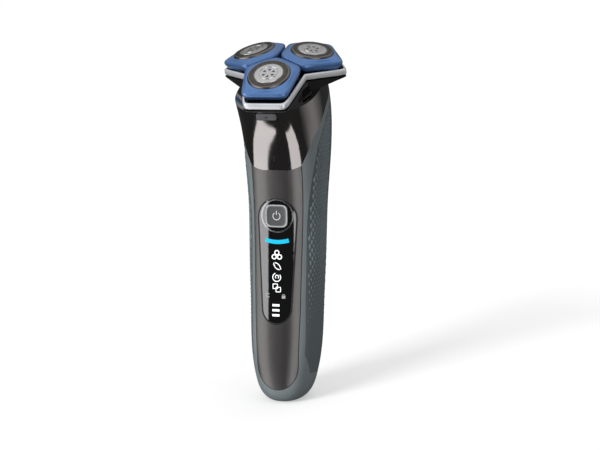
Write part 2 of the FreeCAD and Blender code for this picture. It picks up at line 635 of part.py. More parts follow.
BARREL = "Sizes.hinge_pin_radius + 1.5"
arm = 3.0
chamber_arms = [block(f"ChamberArm{k}", at(x=side * 5.4, y=S["hinge_back"] - 6.0,
                                           z=-S["hinge_drop"] - 2.4, frame=HEAD),
                      str(arm), "12", "2.4") for k, side in enumerate((-1, 1))]
chamber_barrels = [barrel(f"ChamberBarrel{k}", side * 5.4 - arm / 2, arm, BARREL) for k,
                   side in enumerate((-1, 1))]
chamber_keep = cut("ChamberArms", fuse("ChamberArmsAll", *chamber_arms, *chamber_barrels),
                   form("ChamberArmRoom", plug(0.6, 10, -60), HEAD))
pin_hole = barrel("PinHole", -20, 40, "Sizes.hinge_pin_radius")
tongue_room = block("TongueRoom", at(y=S["hinge_back"] - 4.9, z=-S["hinge_drop"] + 0.5, frame=HEAD),
                    "7.4", "14", "8")
node("hair_chamber", cut("HairChamber", fuse("HairChamberAll", chamber, chamber_keep), pin_hole,
                         *bores("FloorBore", -S["chamber_floor"] - 3, "20"), tongue_room))
node("hinge_pin", barrel("HingePin", -S["hinge_half_length"], 2 * S["hinge_half_length"],
                         "Sizes.hinge_pin_radius"))
unit_tongue = block("UnitTongue", at(y=S["hinge_back"] - 4.9, z=-S["hinge_drop"] + 0.9, frame=HEAD),
                    "6.6", "9.8", "2.4")
unit_barrel = barrel("UnitBarrel", -3.3, 6.6, BARREL)

# ---------------------------------------------------------------- frame that carries the heads
frame_ring = rim_prism(-S["rim_wall"], 1.8).cut(rim_prism(-S["rim_wall"] - 1.0, 1.2)).common(
    lobe_sector(RIM_LOW, RIM_LOW + 2.0))
frame_floor = rim_prism(-S["rim_wall"] - 0.5, 1.5).common(lobe_sector(RIM_LOW, RIM_LOW + 1.0))
carrier = form("CarrierForm", frame_ring.fuse(frame_floor).removeSplitter(), HEAD)
openings = []
for k, a in enumerate(LOBES):
    below = lobe(a) * Placement(Vector(0, 0, RIM_LOW - 3), Rotation())
    openings.append(cylinder(f"CarrierOpening{k}", below, "Sizes.gimbal_outer + 0.4", "8"))
    openings.append(block(f"LugSlot{k}", below, "22", "3.8", "8"))
posts = []
post_holes = []
for k, a in enumerate(LOBES):
    for side in (-1, 1):
        tag = f"{k}{'a' if side < 0 else 'b'}"
        seat = lobe(a) * Placement(Vector(0, side * (S["gimbal_outer"] + 0.75), RIM_LOW), Rotation())
        posts.append(block(f"Post{tag}", seat, "2.6", "0.9",
                           "-Sizes.pivot_depth + Sizes.pivot_radius + 0.85"
                           f" + {-RIM_LOW}"))
        post_holes.append(cylinder(f"PostHole{tag}",
                                   lobe(a) * Placement(Vector(0, side * 8, -S["pivot_depth"]),
                          Rotation(Vector(1, 0, 0), -90 * side)), "Sizes.pivot_radius + Sizes.pivot_gap",
                          "3"))
carrier_all = fuse("CarrierAll", carrier, *posts, unit_tongue, unit_barrel)
unit_pin_hole = barrel("UnitPinHole", -20, 40, "Sizes.hinge_pin_radius + Sizes.hinge_gap")
node("head_carrier", cut("HeadCarrier", carrier_all, *openings, *post_holes, unit_pin_hole, rim))
node("head_rim", rim)

# ---------------------------------------------------------------- flexing heads
def holder_outline(outer_x, outer_y, gap_x, gap_y, apex, level):
    points = [Vector(outer_x, -outer_y, level), Vector(outer_x, outer_y, level), Vector(gap_x, gap_y,
            level),
              Vector(apex, 0, level), Vector(gap_x, -gap_y, level)]
    return Part.makePolygon(points + points[:1])


def holder_form(shrink, top_edge, low):
    """Pentagon shell of a holder: a skirt that tapers in towards the rim."""
    widest = holder_outline(12.3 - shrink, 10.6 - shrink, -7.9 + 0.4 * shrink, 13.5 - shrink,
                            -15.6 + 1.2 * shrink, top_edge)
    lowest = holder_outline(11.6 - shrink, 9.2 - shrink, -7.3 + 0.4 * shrink, 12.3 - shrink,
                            -14.6 + 1.2 * shrink, low)
    solid = Part.makeLoft([lowest, widest], True, True)
    return solid.makeFillet(max(0.6, 2.4 - shrink), rising_edges(solid, 1.0))


def crown_form():
    """Bevelled top of a holder, round the shaving cap."""
    edge = holder_outline(12.3, 10.6, -7.9, 13.5, -15.6, -2.2)
    inner = holder_outline(11.1, 9.5, -7.0, 12.1, -13.9, -1.3)
    solid = Part.makeLoft([edge, inner], True, True)
    return solid.makeFillet(2.4, rising_edges(solid, 0.5))


skirt = holder_form(0.0, -2.2, -5.9)
crown = crown_form()
holder_cavity = holder_form(0.8, -3.2, -6.0)
for k, angle in enumerate(LOBES, 1):
    here = lobe(angle)
    body_form = form(f"HolderForm{k}", skirt, here)
    top_form = form(f"HolderCrown{k}", crown, here)
    cavity_form = form(f"HolderCavity{k}", holder_cavity, here)
    lugs = [block(f"HolderLug{k}{n}", here * Placement(Vector(x, 0, -S["pivot_depth"] - 1.1), Rotation()),
                  "1.6", "3", "Sizes.pivot_depth + 1.1 - 2.9")
            for n, x in enumerate((S["gimbal_outer"] + 1.6, -S["gimbal_outer"] - 1.6))]
    lug_holes = [cylinder(f"LugHole{k}{n}", here * Placement(Vector(x, 0, -S["pivot_depth"]),
            Rotation(Vector(0, 1, 0), 90)),
                          "Sizes.pivot_radius + Sizes.pivot_gap", "3") for n, x in enumerate((8.4, -11.6))]
    cap_room = cylinder(f"CapRoom{k}", here * Placement(Vector(0, 0, -S["cap_height"] - 0.1), Rotation()),
                        "Sizes.cap_radius + 0.12", "10")
    shell_form = cut(f"HolderShell{k}", fuse(f"HolderOuter{k}", body_form, top_form), cavity_form)
    node(f"head_holder_{k}", cut(f"HeadHolder{k}", fuse(f"HolderWithLugs{k}", shell_form, *lugs),
                                 cap_room, *lug_holes))
    # gimbal ring between the carrier's posts and the holder's lugs
    ring_seat = here * Placement(Vector(0, 0, -S["pivot_depth"] - S["gimbal_thick"] / 2), Rotation())
    gimbal = ringed(f"Gimbal{k}", ring_seat, "Sizes.gimbal_outer", "Sizes.gimbal_inner",
                    "Sizes.gimbal_thick")
    stubs = []
    for n, spin in enumerate((0, 90, 180, 270)):
        axis = Rotation(Vector(0, 0, 1), spin) * Rotation(Vector(0, 1, 0), 90)
        start = Rotation(Vector(0, 0, 1), spin).multVec(Vector(8.0, 0, -S["pivot_depth"]))
        stubs.append(cylinder(f"GimbalStub{k}{n}", here * Placement(start, axis), "Sizes.pivot_radius",
                              "2.2" if spin % 180 == 0 else "1.7"))
    node(f"gimbal_ring_{k}", fuse(f"GimbalRing{k}", gimbal, *stubs))
    # shaving cap: a thin cup with a slotted track
    cup = cylinder(f"CapCup{k}", here * Placement(Vector(0, 0, -S["cap_height"]), Rotation()),
                   "Sizes.cap_radius",
                   "Sizes.cap_height")
    cup_room = cylinder(f"CapHollow{k}", here * Placement(Vector(0, 0, -S["cap_height"] - 1), Rotation()),
                        "Sizes.track_outer + 0.15", "Sizes.cap_height + 1 - Sizes.cap_skin")
    dish = cylinder(f"CapDish{k}", here * Placement(Vector(0, 0, -0.3), Rotation()),
                    "Sizes.track_inner - 0.1", "1")
    slots = []
    for n in range(int(S["slot_count"])):
        slot = Part.makeBox(S["track_outer"] - S["track_inner"], S["slot_width"], 2,
                            Vector(S["track_inner"], -S["slot_width"] / 2, -1))
        slot.rotate(Vector(), Vector(0, 0, 1), 360.0 * n / S["slot_count"])
        slots.append(slot)
    slot_form = form(f"CapSlots{k}", Part.makeCompound(slots), here)
    node(f"shaving_cap_{k}", cut(f"ShavingCap{k}", cup, cup_room, dish, slot_form))
    disc = cylinder(f"DiscPlate{k}", here * Placement(Vector(0, 0, -0.3), Rotation()),
                    "Sizes.track_inner - 0.1", "0.5")
    groove = ringed(f"DiscGroove{k}", here * Placement(Vector(0, 0, 0.05), Rotation()), "5.0", "4.5", "1")
    node(f"cap_disc_{k}", cut(f"CapDisc{k}", disc, groove))
    # cutter: carrier plate, hub with a drive socket, and blades under the track
    blade_top = -S["cap_skin"] - S["cutter_gap"]
    plate = cylinder(f"CutterPlate{k}", here * Placement(Vector(0, 0, -2.6), Rotation()),
                     "Sizes.track_outer - 0.2", "0.8")
    hub = cylinder(f"CutterHub{k}", here * Placement(Vector(0, 0, -S["cap_height"] - 0.2), Rotation()),
                   "Sizes.hub_radius",
                   "Sizes.cap_height + 0.2 - 1.4")
    socket = cylinder(f"CutterSocket{k}", here * Placement(Vector(0, 0, -S["cap_height"] - 0.3),
            Rotation()),
                      "Sizes.hub_bore", "1.9")
    blades = []
    for n in range(int(S["blade_count"])):
        blade = Part.makeBox(1.6, 0.4, blade_top + 2.2, Vector(S["track_inner"] + 0.15, -0.2, -2.2))
        blade.rotate(Vector(), Vector(0, 0, 1), 360.0 * n / S["blade_count"])
        blades.append(blade)
    blade_form = form(f"CutterBlades{k}", Part.makeCompound(blades), here)
    node(f"cutter_{k}", cut(f"Cutter{k}", fuse(f"CutterAll{k}", plate, hub, blade_form), socket))

# ---------------------------------------------------------------- release button in the collar
release_low = COLLAR_TOP - 0.7 - S["release_tall"]
release = block("ReleaseButton", at(y=-27.1, z=release_low, frame=HEAD), "2 * Sizes.release_half_width",
                "3.6",
                "Sizes.release_tall")
release_room = block("ReleaseRoom", at(y=-27.6, z=release_low - S["button_gap"], frame=HEAD),
                     "2 * (Sizes.release_half_width + Sizes.button_gap)", "12",
                     "Sizes.release_tall + 2 * Sizes.button_gap")
node("release_button", release)
deck_slab = form("CollarDeckSlab", Part.makeBox(100, 100, 1.3, Vector(-50, -50, COLLAR_TOP - 1.3)), HEAD)
deck_hole = form("CollarDeckHole", plug(0.0, COLLAR_TOP + 5, COLLAR_TOP - 5), HEAD)
deck = cut("CollarDeck", common("CollarDeckFitted", deck_slab, hollow), deck_hole)
gear_rooms = bores("GearRoom", GEAR_LOW - 0.4, "Sizes.gear_thick + 0.8", f"{pinion_tip} + 0.3")
node("collar", cut("Collar", fuse("CollarAll", NODES.pop("collar_blank"), deck), release_room, *gear_rooms))
# ---------------------------------------------------------------- small hardware
screw_places = [at(x=x, y=chassis_back - 0.2, z=z, axis=press, angle=90) for x in (-6.8, 6.8)
                for z in (S["board_low"] + 4, S["board_high"] - 4)]
shanks = [cylinder(f"ScrewShank{k}", p, "0.8", f"{chassis_back - 0.2 - S['board_front']}") for k,
          p in enumerate(screw_places)]
heads = [cylinder(f"ScrewHead{k}", at(x=p.Base.x, y=S["board_front"], z=p.Base.z, axis=press, angle=90),
                  "1.5", "0.7")
         for k, p in enumerate(screw_places)]
screw_holes = [cylinder(f"ScrewHole{k}", at(x=p.Base.x, y=chassis_back, z=p.Base.z, axis=press, angle=90),
                        "0.8", "12")
               for k, p in enumerate(screw_places)]
node("board_screws", fuse("BoardScrews", *[fuse(f"Screw{k}", a, b) for k, (a,
        b) in enumerate(zip(shanks, heads))]))
node("main_board", cut("MainBoardDrilled", board, *screw_holes))
node("chassis", cut("ChassisDrilled", NODES["chassis"], *screw_holes))
seals = [ringed(f"SpindleSeal{k}", p * Placement(Vector(0, 0, DECK_TOP - 1.5 - 0.4), Rotation()), "2.6",
                "Sizes.spindle_radius + Sizes.pivot_gap", "0.4") for k, p in enumerate(spindle_places(0.0))]
node("spindle_seals", fuse("SpindleSeals", *seals))
doc.recompute()

# ---------------------------------------------------------------- checks and files
for item in doc.Objects:
    if any(word in item.State for word in ("Invalid", "Error")):
        raise RuntimeError(f"{item.Name} failed: {item.State}")
for name, item in NODES.items():
    shape = item.Shape
    if shape.isNull() or not shape.isValid() or not shape.Solids:
        raise RuntimeError(f"{name} has no valid solid")
for name, item in NODES.items():
    item.Shape.exportStep(f"parts/{name}.step")
    print(f"{name:22s} solids {len(item.Shape.Solids)} volume {item.Shape.Volume:9.1f}")
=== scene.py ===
"""Looks of a rotary shaver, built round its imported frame."""

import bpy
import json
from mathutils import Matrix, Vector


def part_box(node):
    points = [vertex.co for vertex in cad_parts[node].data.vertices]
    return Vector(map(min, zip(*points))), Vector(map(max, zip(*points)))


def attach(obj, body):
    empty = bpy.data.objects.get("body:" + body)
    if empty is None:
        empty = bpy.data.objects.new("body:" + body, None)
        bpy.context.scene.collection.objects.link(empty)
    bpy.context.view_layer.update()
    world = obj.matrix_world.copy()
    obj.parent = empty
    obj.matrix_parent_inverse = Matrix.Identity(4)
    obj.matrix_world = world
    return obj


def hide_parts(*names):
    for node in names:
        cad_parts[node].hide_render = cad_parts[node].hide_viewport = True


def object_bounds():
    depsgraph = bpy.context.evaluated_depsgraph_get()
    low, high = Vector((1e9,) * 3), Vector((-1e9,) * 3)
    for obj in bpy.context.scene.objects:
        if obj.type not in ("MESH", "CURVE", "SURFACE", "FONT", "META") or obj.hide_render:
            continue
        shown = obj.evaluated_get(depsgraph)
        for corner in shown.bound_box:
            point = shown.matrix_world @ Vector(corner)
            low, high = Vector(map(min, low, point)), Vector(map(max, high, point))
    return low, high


bl_info = {
    "name": "Rotary shaver looks",
    "version": (1, 0, 0),
    "blender": (4, 5, 0),
    "location": "View3D > Sidebar > Shaver",
    "description": "Finishes and fine pieces for a rotary shaver with three flexing heads",
    "category": "Object",
}

import json
import math

import bmesh
import bpy
from bpy.props import FloatProperty, FloatVectorProperty, IntProperty, PointerProperty
from mathutils import Matrix, Vector
from mathutils.bvhtree import BVHTree

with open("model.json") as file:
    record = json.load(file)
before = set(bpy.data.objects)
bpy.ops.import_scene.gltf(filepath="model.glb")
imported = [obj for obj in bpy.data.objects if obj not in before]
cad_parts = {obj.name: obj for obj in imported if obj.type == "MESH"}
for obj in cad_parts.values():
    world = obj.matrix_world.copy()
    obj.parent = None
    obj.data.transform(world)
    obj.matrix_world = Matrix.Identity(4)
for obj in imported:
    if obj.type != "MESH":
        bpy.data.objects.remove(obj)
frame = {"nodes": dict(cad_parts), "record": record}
NODES = frame["nodes"]
CAD_LOW, CAD_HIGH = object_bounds()
MM = 0.001
HEADS = (1, 2, 3)
JOINTS = {joint["name"]: joint for joint in frame["record"]["behaviour"]["joints"]}


# ---------------- places taken from the frame
def lobe_frame(k, depth):
    """Frame of shaving head k: X outwards, Z out of the cap, origin on the cap's face."""
    out = Vector(JOINTS[f"head_{k}_tilt"]["axis"])
    side = Vector(JOINTS[f"gimbal_{k}_tilt"]["axis"])
    up = out.cross(side)
    origin = Vector(JOINTS[f"head_{k}_tilt"]["pos_m"]) + up * depth
    return Matrix.Translation(origin) @ Matrix((out, side, up)).transposed().to_4x4()


def head_frame(depth):
    """Frame of the whole shaving unit: Z out of the head, origin at the middle of the three caps."""
    up = Vector(JOINTS["motor_spin"]["axis"])
    side = Vector((1, 0, 0))
    faces = [lobe_frame(k, depth).translation for k in HEADS]
    origin = sum(faces, Vector()) / 3
    return Matrix.Translation(origin) @ Matrix((side, up.cross(side), up)).transposed().to_4x4()


# ---------------- sizes and colours a user may change
def length(name, description, mm):
    """A length whose default is given in millimetres."""
    return FloatProperty(name=name, description=description, default=mm * MM, unit="LENGTH")


def tint(name, description, rgb):
    return FloatVectorProperty(name=name, description=description, default=rgb, subtype="COLOR")


class ShaverSizes(bpy.types.PropertyGroup):
    pivot_depth: length("Pivot depth", "Flexing pivot below the cap's face", 7.2)
    cap_radius: length("Cap radius", "Outer radius of a shaving cap", 10)
    track_inner: length("Track inner radius", "Inner radius of the slotted track", 7.1)
    track_outer: length("Track outer radius", "Outer radius of the slotted track", 9.1)
    track_bars: IntProperty(name="Track bars", description="Bars between the slots of one track",
                            default=84)
    button_side: length("Button side", "Side of the power button", 10.9)
    stud_pitch: length("Stud pitch", "Distance between studs of a row", 2.3)
    stud_size: length("Stud size", "Half width of a stud", 0.98)
    stud_stretch: FloatProperty(name="Stud stretch", description="Height of a stud over its width",
                                default=1.7)


class ShaverColours(bpy.types.PropertyGroup):
    blue: tint("Blue", "Metallic lacquer of the head holders", (0.082, 0.178, 0.40))
    panel: tint("Panel", "Metallic lacquer of the front panel", (0.115, 0.110, 0.109))
    band: tint("Band", "Soft-touch grey of the frame", (0.175, 0.202, 0.212))
    slate: tint("Slate", "Rubber of the side grips", (0.078, 0.094, 0.103))
    bronze: tint("Bronze", "Turned steel of the caps", (0.20, 0.185, 0.17))
    cyan: tint("Cyan", "Light bar of the display", (0.006, 0.36, 0.56))


def sizes():
    return bpy.context.scene.shaver_sizes


def colours():
    return bpy.context.scene.shaver_colours


# ---------------- shader maths
class Value:
    """A shader socket that takes part in Python expressions."""

    def __init__(self, graph, socket):
        self.graph, self.socket = graph, socket

    def maths(self, operation, *values):
        return self.graph.node("ShaderNodeMath", {"operation": operation}, dict(enumerate(values)))

    def __add__(self, other): return self.maths("ADD", self, other)
    def __radd__(self, other): return self.maths("ADD", other, self)
    def __sub__(self, other): return self.maths("SUBTRACT", self, other)
    def __rsub__(self, other): return self.maths("SUBTRACT", other, self)
    def __mul__(self, other): return self.maths("MULTIPLY", self, other)
    def sine(self): return self.maths("SINE", self)

    def ramp(self, low, high):
        """0 below low, 1 above high, straight between; high may be the smaller."""
        return self.graph.node("ShaderNodeMapRange", {"clamp": True},
                               {0: self, 1: low, 2: high, 3: 0.0, 4: 1.0})


def rgba(value):
    """A colour with full alpha; numbers and links pass as they are."""
    return value if isinstance(value, (Value, int, float)) else (*value, 1.0)


class Graph:
    """A shader node tree whose nodes are added by Python expressions."""

    def __init__(self, tree):
        self.tree = tree

    def node(self, kind, settings, values, output=0):
        """Adds a node: settings first, then the values or links of its sockets."""
        made = self.tree.nodes.new(kind)
        for key, value in settings.items():
            setattr(made, key, value)
        for key, value in values.items():
            if isinstance(value, Value):
                self.tree.links.new(value.socket, made.inputs[key])
            else:
                made.inputs[key].default_value = value
        return Value(self, made.outputs[output]) if made.outputs else made

    def place(self, matrix=None):
        """Object coordinates in metres, or in the given frame."""
        coordinate = self.node("ShaderNodeTexCoord", {}, {}, "Object")
        if matrix is None:
            return coordinate
        inverse = matrix.inverted()
        return self.node("ShaderNodeMapping", {}, {
            "Vector": coordinate, "Location": inverse.translation, "Rotation": inverse.to_euler("XYZ")})

    def axis(self, vector, letter):
        return self.node("ShaderNodeSeparateXYZ", {}, {0: vector}, letter)

    def size(self, vector):
        return self.node("ShaderNodeVectorMath", {"operation": "LENGTH"}, {0: vector}, "Value")

    def stretched(self, vector, scale):
        return self.node("ShaderNodeMapping", {}, {"Vector": vector, "Scale": scale})

    def noise(self, vector, scale, detail=2.0):
        return self.node("ShaderNodeTexNoise", {}, {"Vector": vector, "Scale": scale, "Detail": detail})

    def cells(self, vector, scale):
        return self.node("ShaderNodeTexVoronoi", {}, {"Vector": vector, "Scale": scale}, "Distance")

    def mix(self, factor, first, second):
        return self.node("ShaderNodeMix", {"data_type": "RGBA"},
                         {0: factor, 6: rgba(first), 7: rgba(second)}, 2)


class Paint(Graph):
    """One material, with the node tree of its main shader."""

    def __init__(self, name, **fixed):
        self.material = bpy.data.materials.new(name)
        self.material.use_nodes = True
        super().__init__(self.material.node_tree)
        self.shader = self.tree.nodes["Principled BSDF"]
        for socket, value in fixed.items():
            self.set(socket.replace("_", " "), value)

    def set(self, socket, value):
        target = self.shader.inputs[socket]
        if isinstance(value, Value):
            self.tree.links.new(value.socket, target)
        else:
            target.default_value = rgba(value)

    def bump(self, height, strength, distance):
        self.set("Normal", self.node("ShaderNodeBump", {}, {
            "Height": height, "Strength": strength, "Distance": distance}))


def shade(colour, factor):
    return tuple(channel * factor for channel in colour)


def lacquer_panel():
    """Dark metallic lacquer with faint upright brushing."""
    base = colours().panel
    paint = Paint("panel_lacquer", Metallic=0.85)
    where = paint.place()
    brushing = paint.noise(paint.stretched(where, (9000, 9000, 60)), 1.0, 3.0)
    cloud = paint.noise(where, 55.0)
    paint.set("Base Color", paint.mix(brushing * 0.6 + cloud * 0.4, shade(base, 0.8), shade(base, 1.35)))
    paint.set("Roughness", 0.27 + brushing * 0.12)
    paint.bump(brushing, 0.10, 0.00002)
    return paint.material


def soft_touch(name, base, roughness, grain):
    """Moulded soft-touch plastic with a fine grain and slight wear of its sheen."""
    paint = Paint(name, Metallic=0.0, Specular_IOR_Level=0.45)
    where = paint.place()
    fine = paint.noise(where, grain, 4.0)
    broad = paint.noise(where, 60.0, 3.0)
    paint.set("Base Color", paint.mix(broad, shade(base, 0.9), shade(base, 1.12)))
    paint.set("Roughness", roughness - 0.06 + broad * 0.12)
    paint.bump(fine, 0.22, 0.00004)
    return paint.material


def slate_rubber():
    """Side grips: slate rubber, a little paler towards the foot."""
    base = colours().slate
    paint = Paint("grip_slate_rubber", Specular_IOR_Level=0.4)
    where = paint.place()
    fine = paint.noise(where, 5200.0, 3.0)
    broad = paint.noise(where, 45.0, 2.0)
    low = paint.axis(where, "Z").ramp(0.12, 0.03)
    grey = paint.mix(broad, shade(base, 0.92), shade(base, 1.1))
    paint.set("Base Color", paint.mix(low, grey, shade(base, 1.25)))
    paint.set("Roughness", 0.5 + fine * 0.14)
    paint.bump(fine, 0.25, 0.00005)
    return paint.material


def window_glass():
    """Dark mirror glass of the display window, with faint dust in its gloss."""
    paint = Paint("window_black_glass", Metallic=1.0)
    where = paint.place()
    dust = paint.noise(where, 900.0, 5.0)
    wave = paint.noise(where, 70.0, 1.0)
    paint.set("Base Color", paint.mix(dust, (0.155, 0.155, 0.16), (0.185, 0.185, 0.19)))
    paint.set("Roughness", 0.035 + dust.ramp(0.55, 0.8) * 0.05)
    paint.bump(wave, 0.02, 0.0001)
    return paint.material


def collar_gloss():
    """The collar: mirror-bright black chrome."""
    paint = Paint("collar_black_chrome", Metallic=1.0)
    where = paint.place()
    wave = paint.noise(where, 60.0, 2.0)
    dust = paint.noise(where, 1400.0, 3.0)
    paint.set("Base Color", paint.mix(wave, (0.27, 0.255, 0.25), (0.32, 0.30, 0.295)))
    paint.set("Roughness", 0.06 + dust * 0.05)
    paint.bump(wave, 0.02, 0.0001)
    return paint.material


def blue_lacquer():
    """Metallic blue with flakes, and rows of small dimples near the head's middle, painted darker as
    painted shade in their hollows.
    """
    base = colours().blue
    paint = Paint("holder_blue_lacquer", Metallic=0.5, Coat_Weight=0.35, Coat_Roughness=0.12)
    where = paint.place(head_frame(sizes().pivot_depth))
    x, y = paint.axis(where, "X"), paint.axis(where, "Y")
    pitch = 2 * math.pi / (0.95 * MM)
    rows = (x * pitch).sine() * (y * pitch).sine()
    dimples = rows.ramp(0.2, 0.7) * paint.size(where).ramp(21 * MM, 13 * MM)
    flakes = paint.cells(paint.place(), 9000.0)
    flaked = paint.mix(flakes, shade(base, 0.85), shade(base, 1.4))
    # painted shade: the dimples are painted at about a third of the blue, for the shade in their hollows
    paint.set("Base Color", paint.mix(dimples, flaked, shade(base, 0.35)))
    paint.set("Roughness", 0.27 + flakes * 0.12)
    paint.bump(1 - dimples, 0.5, 0.00012)
    return paint.material


def satin_silver():
    """Pale satin lacquer of the rim, under a thin clear coat."""
    paint = Paint("rim_satin_silver", Metallic=0.4, Coat_Weight=0.3, Coat_Roughness=0.1)
    where = paint.place()
    fine = paint.noise(where, 2600.0, 3.0)
    broad = paint.noise(where, 90.0)
    paint.set("Base Color", paint.mix(broad, (0.66, 0.68, 0.70), (0.76, 0.78, 0.80)))
    paint.set("Roughness", 0.26 + fine * 0.1)
    paint.bump(fine, 0.06, 0.00002)
    return paint.material


def turned_steel(name, matrix, dark, light, roughness):
    """Steel turned on a lathe: fine rings round the given frame's axis."""
    paint = Paint(name, Metallic=1.0)
    where = paint.place(matrix)
    flat = paint.node("ShaderNodeVectorMath", {"operation": "MULTIPLY"}, {0: where, 1: (1, 1, 0)})
    rings = (paint.size(flat) * (2 * math.pi / (0.16 * MM))).sine() * 0.5 + 0.5
    stain = paint.noise(where, 260.0, 3.0)
    paint.set("Base Color", paint.mix(stain * 0.6 + rings * 0.4, dark, light))
    paint.set("Roughness", roughness + stain * 0.1)
    paint.bump(rings, 0.12, 0.00002)
    return paint.material


def brushed_metal(name, dark, light, roughness, metallic=1.0):
    """Metal with fine brushing across its width."""
    paint = Paint(name, Metallic=metallic)
    where = paint.place()
    brushing = paint.noise(paint.stretched(where, (60, 9000, 9000)), 1.0, 3.0)
    paint.set("Base Color", paint.mix(brushing, dark, light))
    paint.set("Roughness", roughness + brushing * 0.15)
    paint.bump(brushing, 0.12, 0.00002)
    return paint.material


def moulded(name, base, roughness):
    """Plain moulded plastic with a fine grain."""
    paint = Paint(name)
    where = paint.place()
    fine = paint.noise(where, 3000.0, 3.0)
    broad = paint.noise(where, 80.0)
    paint.set("Base Color", paint.mix(broad, shade(base, 0.85), shade(base, 1.15)))
    paint.set("Roughness", roughness + fine * 0.1)
    paint.bump(fine, 0.12, 0.00003)
    return paint.material


def lit(name, colour, strength):
    """A lit mark, with small dots in its glow."""
    paint = Paint(name, Roughness=0.4, Emission_Strength=strength)
    dots = paint.cells(paint.place(), 2600.0)
    paint.set("Base Color", paint.mix(dots, shade(colour, 0.9), colour))
    paint.set("Emission Color", paint.mix(dots, shade(colour, 0.92), colour))
    return paint.material


# ---------------- mesh helpers
WELD = 1e-7  # points closer than this, in m, become one
CREASE = math.radians(38)  # edges that turn more than this stay sharp
ROUND_STEPS = 96


def piece(name, verts, faces, body, slot, material, stands_for=(), smooth=True):
    """A finished piece in the shared frame, riding on a body."""
    mesh = bpy.data.meshes.new(name)
    mesh.from_pydata([tuple(v) for v in verts], [], faces)
    return finish_piece(name, mesh, body, material, stands_for, smooth)


def finish_piece(name, mesh, body, material, stands_for=(), smooth=True):
    """Welds a mesh, gives it its finish and makes it a piece of a body."""
    work = bmesh.new()
    work.from_mesh(mesh)
    bmesh.ops.remove_doubles(work, verts=work.verts, dist=WELD)
    bmesh.ops.recalc_face_normals(work, faces=work.faces)
    work.to_mesh(mesh)
    work.free()
    mesh.materials.clear()
    mesh.materials.append(material)
    if smooth:
        mesh.shade_smooth()
        mesh.set_sharp_from_angle(angle=CREASE)
    else:
        mesh.shade_flat()
    made = bpy.data.objects.new(name, mesh)
    bpy.context.scene.collection.objects.link(made)
    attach(made, body)
    if stands_for:
        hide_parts(*stands_for)
    return made


def stacked(rings, closed_tube):
    """Vertices and faces that join rings of equal count, as a sheet or as a closed loop of rings."""
    count = len(rings[0])
    verts = [point for ring in rings for point in ring]
    pairs = list(zip(range(len(rings)), range(1, len(rings))))
    if closed_tube:
        pairs.append((len(rings) - 1, 0))
    faces = []
    for a, b in pairs:
        for i in range(count):
            j = (i + 1) % count
            faces.append((a * count + i, a * count + j, b * count + j, b * count + i))
    return verts, faces


def plates(outlines):
    """Vertices and faces of thin plates, each given as its lower and its upper outline."""
    verts, faces = [], []
    for lower, upper in outlines:
        base, count = len(verts), len(lower)
        verts += [*lower, *upper]
        faces.append(tuple(base + i for i in range(count)))
        faces.append(tuple(base + count + i for i in reversed(range(count))))
        faces += [(base + i, base + (i + 1) % count, base + count + (i + 1) % count, base + count + i)
                  for i in range(count)]
    return verts, faces


def rounded_radius(angle, edges, roundness):
    """Distance from the middle to a polygon with soft corners; edges are (normal angle, distance)."""
    total = sum(max(0.0, math.cos(angle - turn) / distance) ** roundness for turn, distance in edges)
    return total ** (-1.0 / roundness)


def angles(count):
    return [2 * math.pi * k / count for k in range(count)]


def turned(profile, matrix, count=ROUND_STEPS):
    """A closed profile of (radius, height), in mm, turned round a frame's Z."""
    rings = [[matrix @ (Vector((r * math.cos(a), r * math.sin(a), h)) * MM) for a in angles(count)]
             for r, h in profile]
    return stacked(rings, True)


def give(material, *nodes):
    """Gives carried-over pieces of the frame their finish."""
    for node in nodes:
        for held in NODES[node].material_slots:
            held.material = material


# ---------------- operators
class SHAVER_OT_housing(bpy.types.Operator):
    """Finishes of the handle's shells and of the pieces inside"""
    bl_idname = "shaver.housing"
    bl_label = "Housing finishes"

    def execute(self, context):
        give(lacquer_panel(), "front_panel")
        give(collar_gloss(), "collar")
        give(soft_touch("band_soft_grey", colours().band, 0.48, 4200.0), "grip_frame")
        give(soft_touch("rear_soft_grey", shade(colours().band, 0.62), 0.5, 4200.0), "rear_shell")
        give(slate_rubber(), "side_grip_left", "side_grip_right")
        give(window_glass(), "display_window")
        give(moulded("chamber_satin_black", (0.008, 0.008, 0.009), 0.26), "hair_chamber", "head_carrier")
        give(moulded("inner_black", (0.02, 0.02, 0.022), 0.5), "charging_socket", "power_switch",
             "display_standoffs", "chassis", "gear_plate", "drive_deck",
             *(f"gimbal_ring_{k}" for k in HEADS))
        give(moulded("seal_rubber", (0.02, 0.025, 0.03), 0.7), "spindle_seals")
        give(brushed_metal("ring_bright_silver", (0.30, 0.31, 0.32), (0.46, 0.47, 0.48), 0.2),
             "button_ring")
        give(moulded("board_green", (0.01, 0.09, 0.035), 0.4), "main_board", "display_board")
        give(moulded("cell_sleeve_blue", (0.02, 0.09, 0.2), 0.35), "battery")
        give(brushed_metal("contact_brass", (0.55, 0.40, 0.14), (0.75, 0.58, 0.25), 0.25),
             "battery_contacts", "charging_pins")
        give(brushed_metal("ground_steel", (0.42, 0.43, 0.44), (0.62, 0.63, 0.64), 0.25), "motor",
             "motor_shaft", "hinge_pin", "board_screws", *(f"drive_spindle_{k}" for k in HEADS))
        give(brushed_metal("blade_steel", (0.22, 0.22, 0.23), (0.42, 0.42, 0.43), 0.3),
             *(f"cutter_{k}" for k in HEADS))
        give(moulded("gear_acetal", (0.62, 0.60, 0.54), 0.4), "central_gear",
             *(f"drive_gear_{k}" for k in HEADS))
        return {"FINISHED"}


# edges of a holder seen along its axis: outer flat, two sides, two faces to the neighbours
HOLDER_EDGES = [(math.radians(turn), distance * MM) for turn, distance in (
    (0.0, 12.6), (-81.8, 12.5), (81.8, 12.5), (-150.3, 13.5), (150.3, 13.5))]
HOLDER_ROUNDNESS = 11
